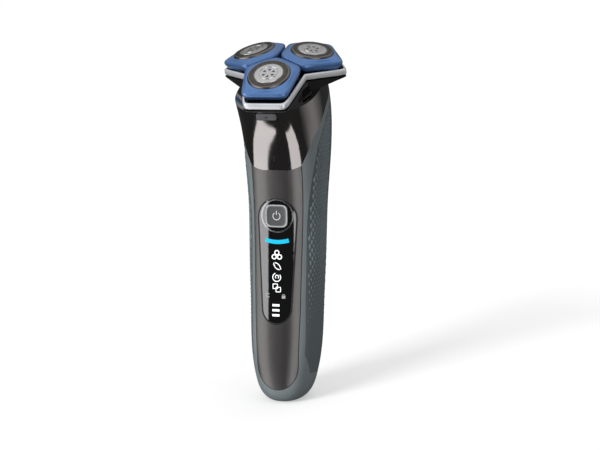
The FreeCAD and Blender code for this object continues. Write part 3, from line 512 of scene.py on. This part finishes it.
# outside of a holder as (inset, height) in mm, from the foot of its skirt up to its top edge
HOLDER_SKIRT = [(1.05, -5.9), (0.9, -5.4), (0.65, -4.9), (0.32, -4.3), (0.08, -3.7), (0.0, -3.1),
                (0.07, -2.7), (0.28, -2.3), (0.62, -1.98), (1.05, -1.78)]
# inside of a holder as (inset, height) in mm and roundness, from the bore's top down to the foot
HOLDER_INSIDE = [(0, -0.92, 1.0), (0, -1.3, 1.0), (0, -3.1, 1.0), (1.5, -3.3, 0.35), (1.9, -3.8),
                 (1.9, -5.9)]


def holder_ring(matrix, bore, inset, height, share=0.0):
    """Ring of a holder, between its own outline (share 0) and its round bore (share 1)."""
    edges = [(turn, distance - inset * MM) for turn, distance in HOLDER_EDGES]
    ring = []
    for a in angles(180):
        r = rounded_radius(a, edges, HOLDER_ROUNDNESS) * (1 - share) + bore * share
        ring.append(matrix @ Vector((r * math.cos(a), r * math.sin(a), height * MM)))
    return ring


class SHAVER_OT_holders(bpy.types.Operator):
    """Blue holders of the three shaving heads"""
    bl_idname = "shaver.holders"
    bl_label = "Head holders"

    def execute(self, context):
        lacquer = blue_lacquer()
        bore = sizes().cap_radius + 0.12 * MM
        lip = bore + 0.35 * MM
        for k in HEADS:
            matrix = lobe_frame(k, sizes().pivot_depth)
            rings = [holder_ring(matrix, bore, *at) for at in HOLDER_SKIRT]
            rings += [holder_ring(matrix, lip, 1.05, -1.75 + 0.95 * math.sin(share * math.pi / 2), share)
                      for share in (0.15, 0.4, 0.7, 1.0)]
            rings += [holder_ring(matrix, bore, *at) for at in HOLDER_INSIDE]
            piece(f"holder_shell_{k}", *stacked(rings, True), f"head_{k}", "holder_blue", lacquer,
                  (f"head_holder_{k}",))
        return {"FINISHED"}


# ---------------- geometry node trees
class Growth:
    """A Geometry Nodes tree that lays copies of a small mesh on points."""

    def __init__(self, name, inputs):
        self.tree = bpy.data.node_groups.new(name, "GeometryNodeTree")
        socket = self.tree.interface.new_socket
        socket("Geometry", in_out="INPUT", socket_type="NodeSocketGeometry")
        for label, value in inputs.items():
            kind = "NodeSocketInt" if isinstance(value, int) else "NodeSocketFloat"
            socket(label, in_out="INPUT", socket_type=kind).default_value = value
        socket("Finish", in_out="INPUT", socket_type="NodeSocketMaterial")
        socket("Geometry", in_out="OUTPUT", socket_type="NodeSocketGeometry")
        self.given = self.tree.nodes.new("NodeGroupInput").outputs

    def node(self, kind, values=None, **settings):
        """Adds a node: settings first, then the values or links of its sockets."""
        made = self.tree.nodes.new(kind)
        for key, value in settings.items():
            setattr(made, key, value)
        for key, value in (values or {}).items():
            if isinstance(value, bpy.types.NodeSocket):
                self.tree.links.new(value, made.inputs[key])
            else:
                made.inputs[key].default_value = value
        return made.outputs[0] if made.outputs else made

    def lay(self, links):
        """Lays the copies, makes them real and sends them out with the finish."""
        laid = self.node("GeometryNodeInstanceOnPoints", links)
        real = self.node("GeometryNodeRealizeInstances", {0: laid})
        finished = self.node("GeometryNodeSetMaterial",
                             {"Geometry": real, "Material": self.given["Finish"]})
        self.node("NodeGroupOutput", {0: finished})
        return self.tree


def track_tree(count, inner, outer):
    """Bars laid radially round the origin, one for each point of a circle."""
    growth = Growth("track_bars", {
        "Bars": count, "Middle radius": (inner + outer) / 2, "Length": outer - inner,
        "Width": 0.3 * MM, "Height": 0.3 * MM})
    given = growth.given
    circle = growth.node("GeometryNodeMeshCircle",
                         {"Vertices": given["Bars"], "Radius": given["Middle radius"]})
    size = growth.node("ShaderNodeCombineXYZ",
                       {"X": given["Length"], "Y": given["Width"], "Z": given["Height"]})
    bar = growth.node("GeometryNodeMeshCube", {"Size": size})
    outwards = growth.node("FunctionNodeAlignRotationToVector",
                           {"Vector": growth.node("GeometryNodeInputPosition")},
                           axis="X", pivot_axis="Z")
    return growth.lay({"Points": circle, "Instance": bar, "Rotation": outwards})


def stud_tree(radius, stretch):
    """A low four-sided stud on each point, turned to the point's normal and scaled by its size."""
    growth = Growth("grip_studs", {
        "Stud radius": radius, "Stud height": 0.34 * MM, "Stretch": stretch})
    given = growth.given
    top = growth.node("ShaderNodeMath", {0: given["Stud radius"], 1: 0.35}, operation="MULTIPLY")
    cone = growth.node("GeometryNodeMeshCone", {
        "Vertices": 4, "Radius Bottom": given["Stud radius"], "Radius Top": top,
        "Depth": given["Stud height"]})
    facing = growth.node("GeometryNodeInputNamedAttribute", {"Name": "facing"},
                         data_type="FLOAT_VECTOR")
    grow = growth.node("GeometryNodeInputNamedAttribute", {"Name": "grow"}, data_type="FLOAT")
    level = growth.node("FunctionNodeAlignRotationToVector", {"Vector": facing}, axis="Z")
    upright = growth.node("FunctionNodeAlignRotationToVector",
                          {"Vector": (0, 0, 1), "Rotation": level}, axis="Y", pivot_axis="Z")
    tall = growth.node("ShaderNodeCombineXYZ", {"X": 1.0, "Z": 1.0, "Y": given["Stretch"]})
    scale = growth.node("ShaderNodeVectorMath", {0: tall, "Scale": grow}, operation="SCALE")
    return growth.lay({"Points": given["Geometry"], "Instance": cone, "Rotation": upright,
                       "Scale": scale})


def grown(tree, name, mesh, finish, matrix=None):
    """Runs a node tree on a mesh and returns the plain mesh that it makes."""
    source = bpy.data.objects.new(name + "_source", mesh)
    bpy.context.scene.collection.objects.link(source)
    modifier = source.modifiers.new("grow", "NODES")
    modifier.node_group = tree
    for item in tree.interface.items_tree:
        if item.name == "Finish":
            modifier[item.identifier] = finish
    view = bpy.context.evaluated_depsgraph_get()
    made = bpy.data.meshes.new_from_object(source.evaluated_get(view), depsgraph=view)
    made.name = name
    bpy.data.objects.remove(source)
    if matrix is not None:
        made.transform(matrix)
    return made


class SHAVER_OT_caps(bpy.types.Operator):
    """Shaving caps: turned rims, slotted tracks and bright discs"""
    bl_idname = "shaver.caps"
    bl_label = "Shaving caps"

    def execute(self, context):
        s = sizes()
        outer, inner, edge = s.track_outer / MM, s.track_inner / MM, s.cap_radius / MM
        top, hole_shade_thick, spread = 0.2, 0.075, 0.15
        # profiles as (radius, height over the cap's face), all in mm
        rim = [(edge, -3.6), (edge, -0.75), (edge - 0.12, -0.4), (edge - 0.4, -0.12), (edge - 0.75, 0),
               (outer, -0.03), (outer, -0.45), (edge - 0.7, -0.5), (edge - 0.7, -3.6)]
        well = [(inner, -0.04), (inner - 0.25, 0.0), (inner - 0.5, -0.35), (1.0, -0.4), (1.0, -0.9),
                (inner, -0.9)]
        disc = [(0.0, top + 0.05), (4.0, top + 0.05), (4.15, top - 0.2), (4.5, top - 0.2), (4.65, top),
                (6.3, top - 0.02), (6.65, top - 0.1), (6.8, top - 0.3), (6.8, -0.3), (0.0, -0.3)]
        arrow = [(1.35, 0.0), (2.95, -0.85), (2.95, 0.85)]
        tree = track_tree(s.track_bars, (inner - spread) * MM, (outer + spread) * MM)
        for k in HEADS:
            matrix, body = lobe_frame(k, s.pivot_depth), f"head_{k}"
            bronze = turned_steel(f"cap_bronze_{k}", matrix, shade(colours().bronze, 0.75),
                                  shade(colours().bronze, 1.3), 0.26)
            bright = turned_steel(f"disc_silver_{k}", matrix, (0.52, 0.52, 0.53), (0.74, 0.74, 0.75),
                                  0.2)
            # painted shade: six dark triangles on each disc stand in for its triangular holes, dark with
            # the shade inside them
            dark = moulded(f"painted_hole_shade_{k}", (0.03, 0.03, 0.03), 0.4)
            piece(f"cap_rim_{k}", *turned(rim, matrix, 128), body, "cap_bronze", bronze,
                  (f"shaving_cap_{k}",))
            bars = grown(tree, f"cap_track_{k}", bpy.data.meshes.new("seed"), bronze,
                         matrix @ Matrix.Translation((0, 0, -0.2 * MM)))
            finish_piece(f"cap_track_{k}", bars, body, bronze, smooth=False)
            piece(f"cap_well_{k}", *turned(well, matrix), body, "cap_bronze", bronze)
            piece(f"cap_disc_face_{k}", *turned(disc, matrix), body, "disc_silver", bright,
                  (f"cap_disc_{k}",))
            # the dark triangles of painted shade, one for each hole
            hole_shades = []
            for turn in angles(6):
                spin = matrix @ Matrix.Rotation(turn, 4, "Z")
                hole_shades.append([[spin @ Vector((x * MM, y * MM, (top + lift) * MM)) for x, y in arrow]
                               for lift in (0.0, hole_shade_thick)])
            piece(f"cap_disc_hole_shade_{k}", *plates(hole_shades), body, "inner_black", dark, smooth=False)
        return {"FINISHED"}


# edges of one lobe of the rim: distance of its outer flat and of its sides, the sides' turn
RIM_FLAT, RIM_SIDE, RIM_TURN = 29.5 * MM, 16.6 * MM, math.radians(77.3)
RIM_ROUNDNESS = 22


def rim_ring(matrix, lean, reach, inset, depth):
    """Outline of the rim at a depth measured along each lobe's own axis."""
    third = 2 * math.pi / 3
    edges = [(0.0, RIM_FLAT - inset), (RIM_TURN, RIM_SIDE - inset), (-RIM_TURN, RIM_SIDE - inset)]
    points = []
    for a in angles(360):
        off = a - (round((a + math.pi / 2) / third) * third - math.pi / 2)
        r = rounded_radius(off, edges, RIM_ROUNDNESS)
        z = (depth - (r * math.cos(off) - reach) * math.sin(lean)) / math.cos(lean)
        points.append(matrix @ Vector((r * math.cos(a), r * math.sin(a), z)))
    return points


class SHAVER_OT_rim(bpy.types.Operator):
    """Bright rim round the three heads"""
    bl_idname = "shaver.rim"
    bl_label = "Head rim"

    def execute(self, context):
        matrix = head_frame(sizes().pivot_depth)
        out = matrix.to_3x3().inverted() @ lobe_frame(2, 0).to_3x3().col[2]
        lean = math.acos(max(-1.0, min(1.0, out.z)))
        reach = (lobe_frame(2, sizes().pivot_depth).translation - matrix.translation).length
        # section of the band as (inset, depth) in mm
        section = [(0.35, -8.95), (0.12, -8.85), (0.0, -8.6), (0.0, -6.9), (0.12, -6.55), (0.38, -6.3),
                   (0.7, -6.2), (0.95, -6.28), (1.05, -6.5), (1.05, -8.95)]
        rings = [rim_ring(matrix, lean, reach, inset * MM, depth * MM) for inset, depth in section]
        piece("rim_band", *stacked(rings, True), "shaving_unit", "rim_silver", satin_silver(),
              ("head_rim",))
        return {"FINISHED"}


# ---------------- marks on the window
STAND_OFF = 0.05  # rays start this far outside the shaver, in m
PLATE_THICK = 0.04 * MM


def surface_of(node):
    """Ray-cast tree of a node's surface."""
    work = bmesh.new()
    work.from_mesh(NODES[node].data)
    tree = BVHTree.FromBMesh(work)
    work.free()
    return tree


def merged(nodes):
    """Ray-cast tree of several nodes together."""
    verts, faces = [], []
    for node in nodes:
        mesh = NODES[node].data
        base = len(verts)
        verts += [v.co.copy() for v in mesh.vertices]
        faces += [[base + i for i in face.vertices] for face in mesh.polygons]
    return BVHTree.FromPolygons(verts, faces)


def seen_from_front(tree, x, z, *reach):
    """Point of a surface seen from the front at x and z, or None."""
    return tree.ray_cast(Vector((x, CAD_LOW.y - STAND_OFF, z)), Vector((0, 1, 0)), *reach)[0]


def front_point(tree, x, z, lift):
    """Point of a surface seen from the front at x and z, lifted off it."""
    hit = seen_from_front(tree, x, z)
    if hit is None:
        raise RuntimeError(f"no surface at {x:.4f}, {z:.4f}")
    return hit + Vector((0, -lift, 0))


def strip(points, width, closed=False):
    """Polygons of a line of even width: one four-sided patch for each step."""
    count = len(points)
    patches = []
    for i in range(count if closed else count - 1):
        a, b = Vector(points[i]), Vector(points[(i + 1) % count])
        side = (b - a).normalized()
        side = Vector((-side.y, side.x)) * width / 2
        patches.append([a + side, b + side, b - side, a - side])
    return patches


def arc(cx, cz, radius, start, end, steps=24):
    """Points of an arc from start to end, in degrees."""
    turns = [math.radians(start + (end - start) * k / steps) for k in range(steps + 1)]
    return [(cx + radius * math.cos(turn), cz + radius * math.sin(turn)) for turn in turns]


def rectangle(cx, cz, wide, tall):
    corners = ((-1, -1), (1, -1), (1, 1), (-1, 1))
    return [[Vector((cx + x * wide / 2, cz + z * tall / 2)) for x, z in corners]]


def decal(name, patches, tree, body, slot, material, lift=0.03 * MM):
    """Thin plates laid on a surface; each patch is an outline of (x, z)."""
    outlines = [[[front_point(tree, p[0], p[1], height) for p in patch]
                 for height in (lift - PLATE_THICK, lift)] for patch in patches]
    return piece(name, *plates(outlines), body, slot, material, smooth=False)


def edge_point(tree, start, heading, reach):
    """Last point of a surface, seen from the front, on the way from start along heading."""
    halvings, deepest = 16, 0.09
    near, far = 0.0, reach
    for _ in range(halvings):
        middle = (near + far) / 2
        hit = seen_from_front(tree, start[0] + heading[0] * middle, start[1] + heading[1] * middle,
                              deepest)
        near, far = (middle, far) if hit else (near, middle)
    return Vector((start[0] + heading[0] * near, start[1] + heading[1] * near))


def border(tree, low, high, around, reach):
    """Outline of an upright front surface, open at its top: left side, round the bottom, right side."""
    side_steps, bottom_steps = 40, 36
    levels = [high - (high - low) * k / side_steps for k in range(side_steps)]
    left = [edge_point(tree, (0, z), (-1, 0), reach) for z in levels]
    right = [edge_point(tree, (0, z), (1, 0), reach) for z in reversed(levels)]
    turns = [math.radians(180 + 180 * k / bottom_steps) for k in range(bottom_steps + 1)]
    bottom = [edge_point(tree, (0, low), (math.cos(a), math.sin(a)), around) for a in turns]
    return left + bottom + right


class SHAVER_OT_seams(bpy.types.Operator):
    """Dark strips of painted shade in the seams round the front panel and the display window"""
    bl_idname = "shaver.seams"
    bl_label = "Seams"

    def execute(self, context):
        # painted shade: thin dark strips laid along the gaps round the panel and the window, where shade
        # falls
        dark = moulded("seam_shadow", (0.01, 0.01, 0.011), 0.6)
        window = ("display_window", "power_button", "button_ring")
        panel = window + ("front_panel",)
        skin = merged(panel + ("grip_frame", "collar"))
        for name, main, nodes, width, share in (
                ("panel_seam_shade", "front_panel", panel, 0.34 * MM, 0.14),
                ("window_groove_shade", "display_window", window, 0.8 * MM, 0.3)):
            low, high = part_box(main)
            half = (high.x - low.x) / 2
            line = []
            for point in border(merged(nodes), low.z + half, high.z - 1.5 * MM, half * 2, half * 1.3):
                middle = Vector((0, min(max(point.y, low.z + half), high.z)))
                line.append(point + (point - middle).normalized() * width * share)
            decal(name, strip(line, width), skin, "handle", "inner_black", dark, 0.02 * MM)
        return {"FINISHED"}


class SHAVER_OT_display(bpy.types.Operator):
    """Lit marks under the window"""
    bl_idname = "shaver.display"
    bl_label = "Display marks"

    def execute(self, context):
        tree = surface_of("display_window")
        white = lit("mark_white", (0.82, 0.84, 0.84), 0.7)
        grey = lit("mark_grey", (0.35, 0.37, 0.38), 0.25)
        cyan = lit("mark_cyan", colours().cyan, 0.75)
        low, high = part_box("display_window")
        tall = high.z - low.z
        middle = (low.x + high.x) / 2
        leaf_radius = 3.2 * MM

        def level(share):
            """Height at a share of the window's own height."""
            return low.z + tall * share

        bow = [Vector(p) for p in arc(middle, level(0.64) + 20.2 * MM, 19.4 * MM, 253, 287, 20)]
        decal("mark_light_bar", strip(bow, 1.9 * MM), tree, "handle", "window_black", cyan)
        marks = []
        for x, z in ((-1.3, 0.0), (1.3, 0.0), (0.0, 2.0)):
            marks += strip(arc(middle + x * MM, level(0.535) + z * MM, 1.02 * MM, 0, 360, 20), 0.52 * MM)
        leaf = arc(middle - 1.3 * MM, level(0.455) - 1.2 * MM, leaf_radius, 0, 84, 16)
        leaf_back = arc(middle + 1.7 * MM, level(0.455) + 1.9 * MM, leaf_radius, 180, 264, 16)
        marks += strip(leaf, 0.42 * MM) + strip(leaf_back, 0.42 * MM)
        marks += strip(arc(middle, level(0.372), 1.95 * MM, 110, 400), 0.42 * MM)
        marks += strip(arc(middle + 0.15 * MM, level(0.376), 0.8 * MM, -60, 240), 0.38 * MM)
        for x, z in ((-0.7, 0.7), (0.8, -0.8)):
            square = [(middle + (x + a) * MM, level(0.288) + (z + b) * MM)
                      for a, b in ((-1.1, -1.1), (1.1, -1.1), (1.1, 1.1), (-1.1, 1.1))]
            marks += strip(square, 0.38 * MM, True)
        for share in (0.148, 0.108, 0.068):
            marks += rectangle(middle - 0.3 * MM, level(share), 3.5 * MM, 1.05 * MM)
        decal("mark_icons", marks, tree, "handle", "window_black", white)
        small = rectangle(middle + 3.4 * MM, level(0.215), 1.7 * MM, 1.3 * MM)
        small += strip(arc(middle + 3.4 * MM, level(0.215) + 0.65 * MM, 0.6 * MM, 0, 180), 0.3 * MM)
        small += strip(arc(middle - 4.3 * MM, level(0.225), 0.9 * MM, 40, 320), 0.32 * MM)
        decal("mark_small", small, tree, "handle", "window_black", grey)
        return {"FINISHED"}


class SHAVER_OT_power_button(bpy.types.Operator):
    """Power button with its bright edge and its mark"""
    bl_idname = "shaver.power_button"
    bl_label = "Power button"

    def execute(self, context):
        low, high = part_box("power_button")
        middle = (low + high) / 2
        half = sizes().button_side / 2
        face = low.y
        edges = [(math.radians(t), half) for t in (0, 90, 180, 270)]
        roundness = 4.6

        def ring(inset, depth, share=1.0):
            """Outline of the button at an inset and a depth behind its face, both in mm."""
            inner = [(turn, distance - inset * MM) for turn, distance in edges]
            points = []
            for a in angles(120):
                r = rounded_radius(a, inner, roundness) * share
                points.append(Vector((middle.x + r * math.cos(a), face + depth * MM,
                                      middle.z + r * math.sin(a))))
            return points

        grey = brushed_metal("button_grey", (0.12, 0.122, 0.125), (0.19, 0.193, 0.196), 0.34, 0.8)
        rings = [ring(*at) for at in ((0.35, 3.7, 0.0), (0.35, 3.7), (0.0, 3.4), (0.0, 0.45),
                                      (0.06, 0.22), (0.2, 0.08), (0.45, 0.0), (0.62, 0.02), (0.75, 0.1))]
        rings += [ring(0.75, 0.1 + 0.1 * (1 - share), share) for share in (0.8, 0.55, 0.3, 0.0)]
        piece("button_cap", *stacked(rings, False), "power_button", "button_grey", grey,
              ("power_button",))
        bright = brushed_metal("button_edge_silver", (0.42, 0.43, 0.44), (0.56, 0.57, 0.58), 0.3, 0.3)
        rings = [ring(*at) for at in ((0.12, 0.1), (0.2, -0.06), (0.34, -0.12), (0.6, -0.12),
                                      (0.74, -0.04), (0.8, 0.1), (0.45, 0.2))]
        piece("button_edge", *stacked(rings, True), "power_button", "ring_silver", bright)
        mark = lit("button_mark", (0.62, 0.64, 0.66), 0.25)
        patches = strip(arc(0, 0, 1.75 * MM, 125, 415, 32), 0.34 * MM)
        patches += rectangle(0, 1.55 * MM, 0.36 * MM, 1.9 * MM)
        outlines = [[[Vector((middle.x + p[0], face + depth * MM, middle.z + p[1])) for p in patch]
                     for depth in (0.3, 0.06)] for patch in patches]
        piece("button_mark", *plates(outlines), "power_button", "ring_silver", mark, smooth=False)
        return {"FINISHED"}


class SHAVER_OT_release(bpy.types.Operator):
    """Release button of the shaving unit, with an arrow mark"""
    bl_idname = "shaver.release"
    bl_label = "Release button"

    def execute(self, context):
        low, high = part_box("release_button")
        up = Vector(JOINTS["motor_spin"]["axis"])
        inward = Vector(JOINTS["release_press"]["axis"])
        side = Vector((1, 0, 0))
        points = [v.co for v in NODES["release_button"].data.vertices]
        depths, heights = [p.dot(inward) for p in points], [p.dot(up) for p in points]
        front, back, bottom, top = min(depths), max(depths), min(heights), max(heights)
        half_x, half_z = (high.x - low.x) / 2, (top - bottom) / 2
        centre = up * (bottom + top) / 2
        squareness = 0.35

        def ring(inset, depth, share=1.0):
            """Outline of the button at an inset and a depth behind its front, both in mm."""
            outline = []
            for a in angles(64):
                c, s = math.cos(a), math.sin(a)
                x = math.copysign(abs(c) ** squareness, c) * (half_x - inset * MM) * share
                z = math.copysign(abs(s) ** squareness, s) * (half_z - inset * MM) * share
                outline.append(centre + side * x + up * z + inward * (front + depth * MM))
            return outline

        deep = (back - front) / MM
        rings = [ring(*at) for at in ((0, deep, 0.0), (0, deep), (0, 0.5), (0.08, 0.2), (0.3, 0.03),
                                      (0.6, 0.0), (0.6, 0.0, 0.6), (0.6, 0.0, 0.0))]
        grey = brushed_metal("release_grey", (0.085, 0.086, 0.09), (0.12, 0.121, 0.125), 0.35, 0.4)
        piece("release_cap", *stacked(rings, False), "release_button", "release_grey", grey,
              ("release_button",))
        dark = moulded("release_mark", (0.015, 0.015, 0.016), 0.5)
        arrow = [(0.8, -0.5), (-0.8, -0.5), (0.0, 0.7)]
        outline = [[centre + side * x * MM + up * z * MM + inward * (front - lift * MM)
                    for x, z in arrow] for lift in (-0.05, 0.04)]
        piece("release_arrow", *plates([outline]), "release_button", "window_black", dark,
              smooth=False)
        return {"FINISHED"}


# studs fade out from FADE_TOP down to FADE_LOW (heights in m); smaller ones are left out
FADE_LOW, FADE_TOP, SMALLEST = 0.025, 0.075, 0.12
STUD_INSET = 1.3 * MM  # least distance from a stud to the border of its grip
FLATTEST = 0.25  # least sideways share of the grip's normal under a stud


class SHAVER_OT_studs(bpy.types.Operator):
    """Small studs on the side grips, fading out towards the foot, painted paler than the grip as painted
    highlight
    """
    bl_idname = "shaver.studs"
    bl_label = "Grip studs"

    def execute(self, context):
        s = sizes()
        tree = stud_tree(s.stud_size, s.stud_stretch)
        # painted highlight: the studs get a much paler copy of the grip's slate, standing for the light
        # on their faces
        slate = moulded("stud_slate_highlight", shade(colours().slate, 1.9), 0.45)
        around = ((STUD_INSET, 0), (-STUD_INSET, 0), (0, STUD_INSET), (0, -STUD_INSET))
        step = s.stud_pitch * s.stud_stretch / 2
        for name, sign in (("right", 1), ("left", -1)):
            node = f"side_grip_{name}"
            surface = surface_of(node)
            low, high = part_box(node)

            def seen(y, z):
                """Point and normal of the grip seen from its side."""
                return surface.ray_cast(Vector((sign * STAND_OFF, y, z)), Vector((-sign, 0, 0)))[:2]

            points, normals, growth = [], [], []
            for row in range(int((high.z - low.z) / step)):
                z = low.z + row * step
                y = low.y + (s.stud_pitch / 2 if row % 2 else 0.0)
                grow = min(1.0, max(0.0, (z - FADE_LOW) / (FADE_TOP - FADE_LOW)))
                while y < high.y:
                    hit, normal = seen(y, z)
                    inside = hit is not None and all(seen(y + dy, z + dz)[0] for dy, dz in around)
                    if inside and grow > SMALLEST and abs(normal.x) > FLATTEST:
                        points.append(hit)
                        normals.append(normal if normal.x * sign > 0 else -normal)
                        growth.append(grow)
                    y += s.stud_pitch
            mesh = bpy.data.meshes.new("stud_places")
            mesh.from_pydata(points, [], [])
            facing = mesh.attributes.new("facing", "FLOAT_VECTOR", "POINT")
            facing.data.foreach_set("vector", [c for n in normals for c in n])
            mesh.attributes.new("grow", "FLOAT", "POINT").data.foreach_set("value", growth)
            made = grown(tree, f"grip_studs_{name}", mesh, slate)
            finish_piece(f"grip_studs_{name}", made, "handle", slate, smooth=False)
        return {"FINISHED"}


# ---------------- stage
# soft boxes: azimuth from, to, elevation from, to, strength, width of the soft edge; degrees
BOXES = [(-78, -28, -66, 30, 1.9, 1.5), (16, 56, -62, 12, 1.7, 1.5), (98, 150, -30, 40, 0.4, 12),
         (-25, 25, 22, 50, 0.4, 8)]
# suns: name, azimuth, elevation, strength, spread; degrees
SUNS = [("key", -24, 26, 2.6, 20), ("top", 30, 70, 0.5, 60), ("back", 170, 40, 0.4, 60)]
# light of the world: on matt surfaces, in reflections at the horizon, and added overhead
MATT_LIGHT, HORIZON_LIGHT, OVERHEAD_LIGHT = 0.40, 0.045, 0.75
OVERHEAD = (12, 65)
# camera: place in metres, azimuth and elevation back from its aim and roll in degrees, lens in mm
CAMERA_AT, CAMERA_BACK, CAMERA_ROLL = (0.2091, -0.6727, 0.1909), (16.65, 8.64), -0.75
LENS, SENSOR = 90.0, 36.0
FLOOR_REACH, FLOOR_DROP = 80.0, 0.0002


def towards(azimuth, elevation):
    """Unit vector towards a light or camera; azimuth 0 is in front of the shaver."""
    a, e = math.radians(azimuth), math.radians(elevation)
    return Vector((math.sin(a) * math.cos(e), -math.cos(a) * math.cos(e), math.sin(e)))


class SHAVER_OT_stage(bpy.types.Operator):
    """Pale floor, soft lights and the camera"""
    bl_idname = "shaver.stage"
    bl_label = "Stage"

    def execute(self, context):
        scene = context.scene
        scene.view_settings.view_transform = "Standard"
        self.lay_floor(scene)
        self.light_world(scene)
        for name, azimuth, elevation, power, spread in SUNS:
            data = bpy.data.lights.new(name, "SUN")
            data.energy, data.angle = power, math.radians(spread)
            lamp = bpy.data.objects.new(name, data)
            scene.collection.objects.link(lamp)
            lamp.visible_glossy = False
            lamp.rotation_mode = "QUATERNION"
            lamp.rotation_quaternion = (-towards(azimuth, elevation)).to_track_quat("-Z", "Y")
        data = bpy.data.cameras.new("camera")
        data.lens, data.sensor_width = LENS, SENSOR
        camera = bpy.data.objects.new("camera", data)
        scene.collection.objects.link(camera)
        aim = (-towards(*CAMERA_BACK)).to_track_quat("-Z", "Y").to_matrix().to_4x4()
        roll = Matrix.Rotation(math.radians(CAMERA_ROLL), 4, "Z")
        camera.matrix_world = Matrix.Translation(CAMERA_AT) @ (aim @ roll)
        scene.camera = camera
        return {"FINISHED"}

    def lay_floor(self, scene):
        """A pale floor that neither reflects in the shaver nor lights it."""
        work = bmesh.new()
        bmesh.ops.create_circle(work, cap_ends=True, segments=ROUND_STEPS, radius=FLOOR_REACH)
        mesh = bpy.data.meshes.new("floor")
        work.to_mesh(mesh)
        work.free()
        floor = bpy.data.objects.new("floor", mesh)
        scene.collection.objects.link(floor)
        floor.location.z = CAD_LOW.z - FLOOR_DROP
        floor.visible_glossy = floor.visible_diffuse = False
        paint = Paint("floor_pale", Roughness=0.9, Specular_IOR_Level=0.0, Emission_Color=(1, 1, 1),
                      Emission_Strength=0.42)
        paint.set("Base Color", paint.mix(paint.noise(paint.place(), 3.0), (0.62, 0.62, 0.62),
                                          (0.64, 0.64, 0.64)))
        mesh.materials.append(paint.material)

    def light_world(self, scene):
        """White behind the object, even light for matt surfaces, soft boxes for glossy ones."""
        world = scene.world or bpy.data.worlds.new("studio")
        scene.world = world
        world.use_nodes = True
        world.node_tree.nodes.clear()
        sky = Graph(world.node_tree)
        ray = sky.node("ShaderNodeTexCoord", {}, {}, "Generated")
        x, y, z = (sky.axis(ray, letter) for letter in "XYZ")
        degrees = 180 / math.pi
        azimuth = sky.node("ShaderNodeMath", {"operation": "ARCTAN2"}, {0: x, 1: 0 - y}) * degrees
        height = sky.node("ShaderNodeMath", {"operation": "ARCSINE"}, {0: z}) * degrees
        bright = height.ramp(*OVERHEAD) * OVERHEAD_LIGHT + HORIZON_LIGHT
        for left, right, low, high, power, soft in BOXES:
            across = azimuth.ramp(left - soft, left + soft) * azimuth.ramp(right + soft, right - soft)
            upward = height.ramp(low - soft, low + soft) * height.ramp(high + soft, high - soft)
            bright = bright + across * upward * power
        path = sky.tree.nodes.new("ShaderNodeLightPath").outputs
        glossy, seen = Value(sky, path["Is Glossy Ray"]), Value(sky, path["Is Camera Ray"])
        level = glossy * bright + (1 - glossy) * MATT_LIGHT
        level = seen + (1 - seen) * level
        light = sky.node("ShaderNodeBackground", {}, {"Color": (1, 1, 1, 1), "Strength": level})
        sky.node("ShaderNodeOutputWorld", {}, {"Surface": light})


class SHAVER_PT_panel(bpy.types.Panel):
    """Lists the shaver's steps"""
    bl_label = "Shaver"
    bl_idname = "SHAVER_PT_panel"
    bl_space_type = "VIEW_3D"
    bl_region_type = "UI"
    bl_category = "Shaver"

    def draw(self, context):
        for step in STEPS:
            self.layout.operator(step.bl_idname)


STEPS = (SHAVER_OT_stage, SHAVER_OT_housing, SHAVER_OT_holders, SHAVER_OT_caps, SHAVER_OT_rim,
         SHAVER_OT_seams, SHAVER_OT_display, SHAVER_OT_power_button, SHAVER_OT_release, SHAVER_OT_studs)
CLASSES = (ShaverSizes, ShaverColours, *STEPS, SHAVER_PT_panel)


def register():
    for item in CLASSES:
        bpy.utils.register_class(item)
    bpy.types.Scene.shaver_sizes = PointerProperty(type=ShaverSizes)
    bpy.types.Scene.shaver_colours = PointerProperty(type=ShaverColours)


def unregister():
    del bpy.types.Scene.shaver_colours
    del bpy.types.Scene.shaver_sizes
    for item in reversed(CLASSES):
        bpy.utils.unregister_class(item)


def write_sizes():
    """Updates the view layer."""
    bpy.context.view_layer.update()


def main():
    register()
    for step in STEPS:
        group, name = step.bl_idname.split(".")
        getattr(getattr(bpy.ops, group), name)()
    write_sizes()


if __name__ == "__main__":
    main()
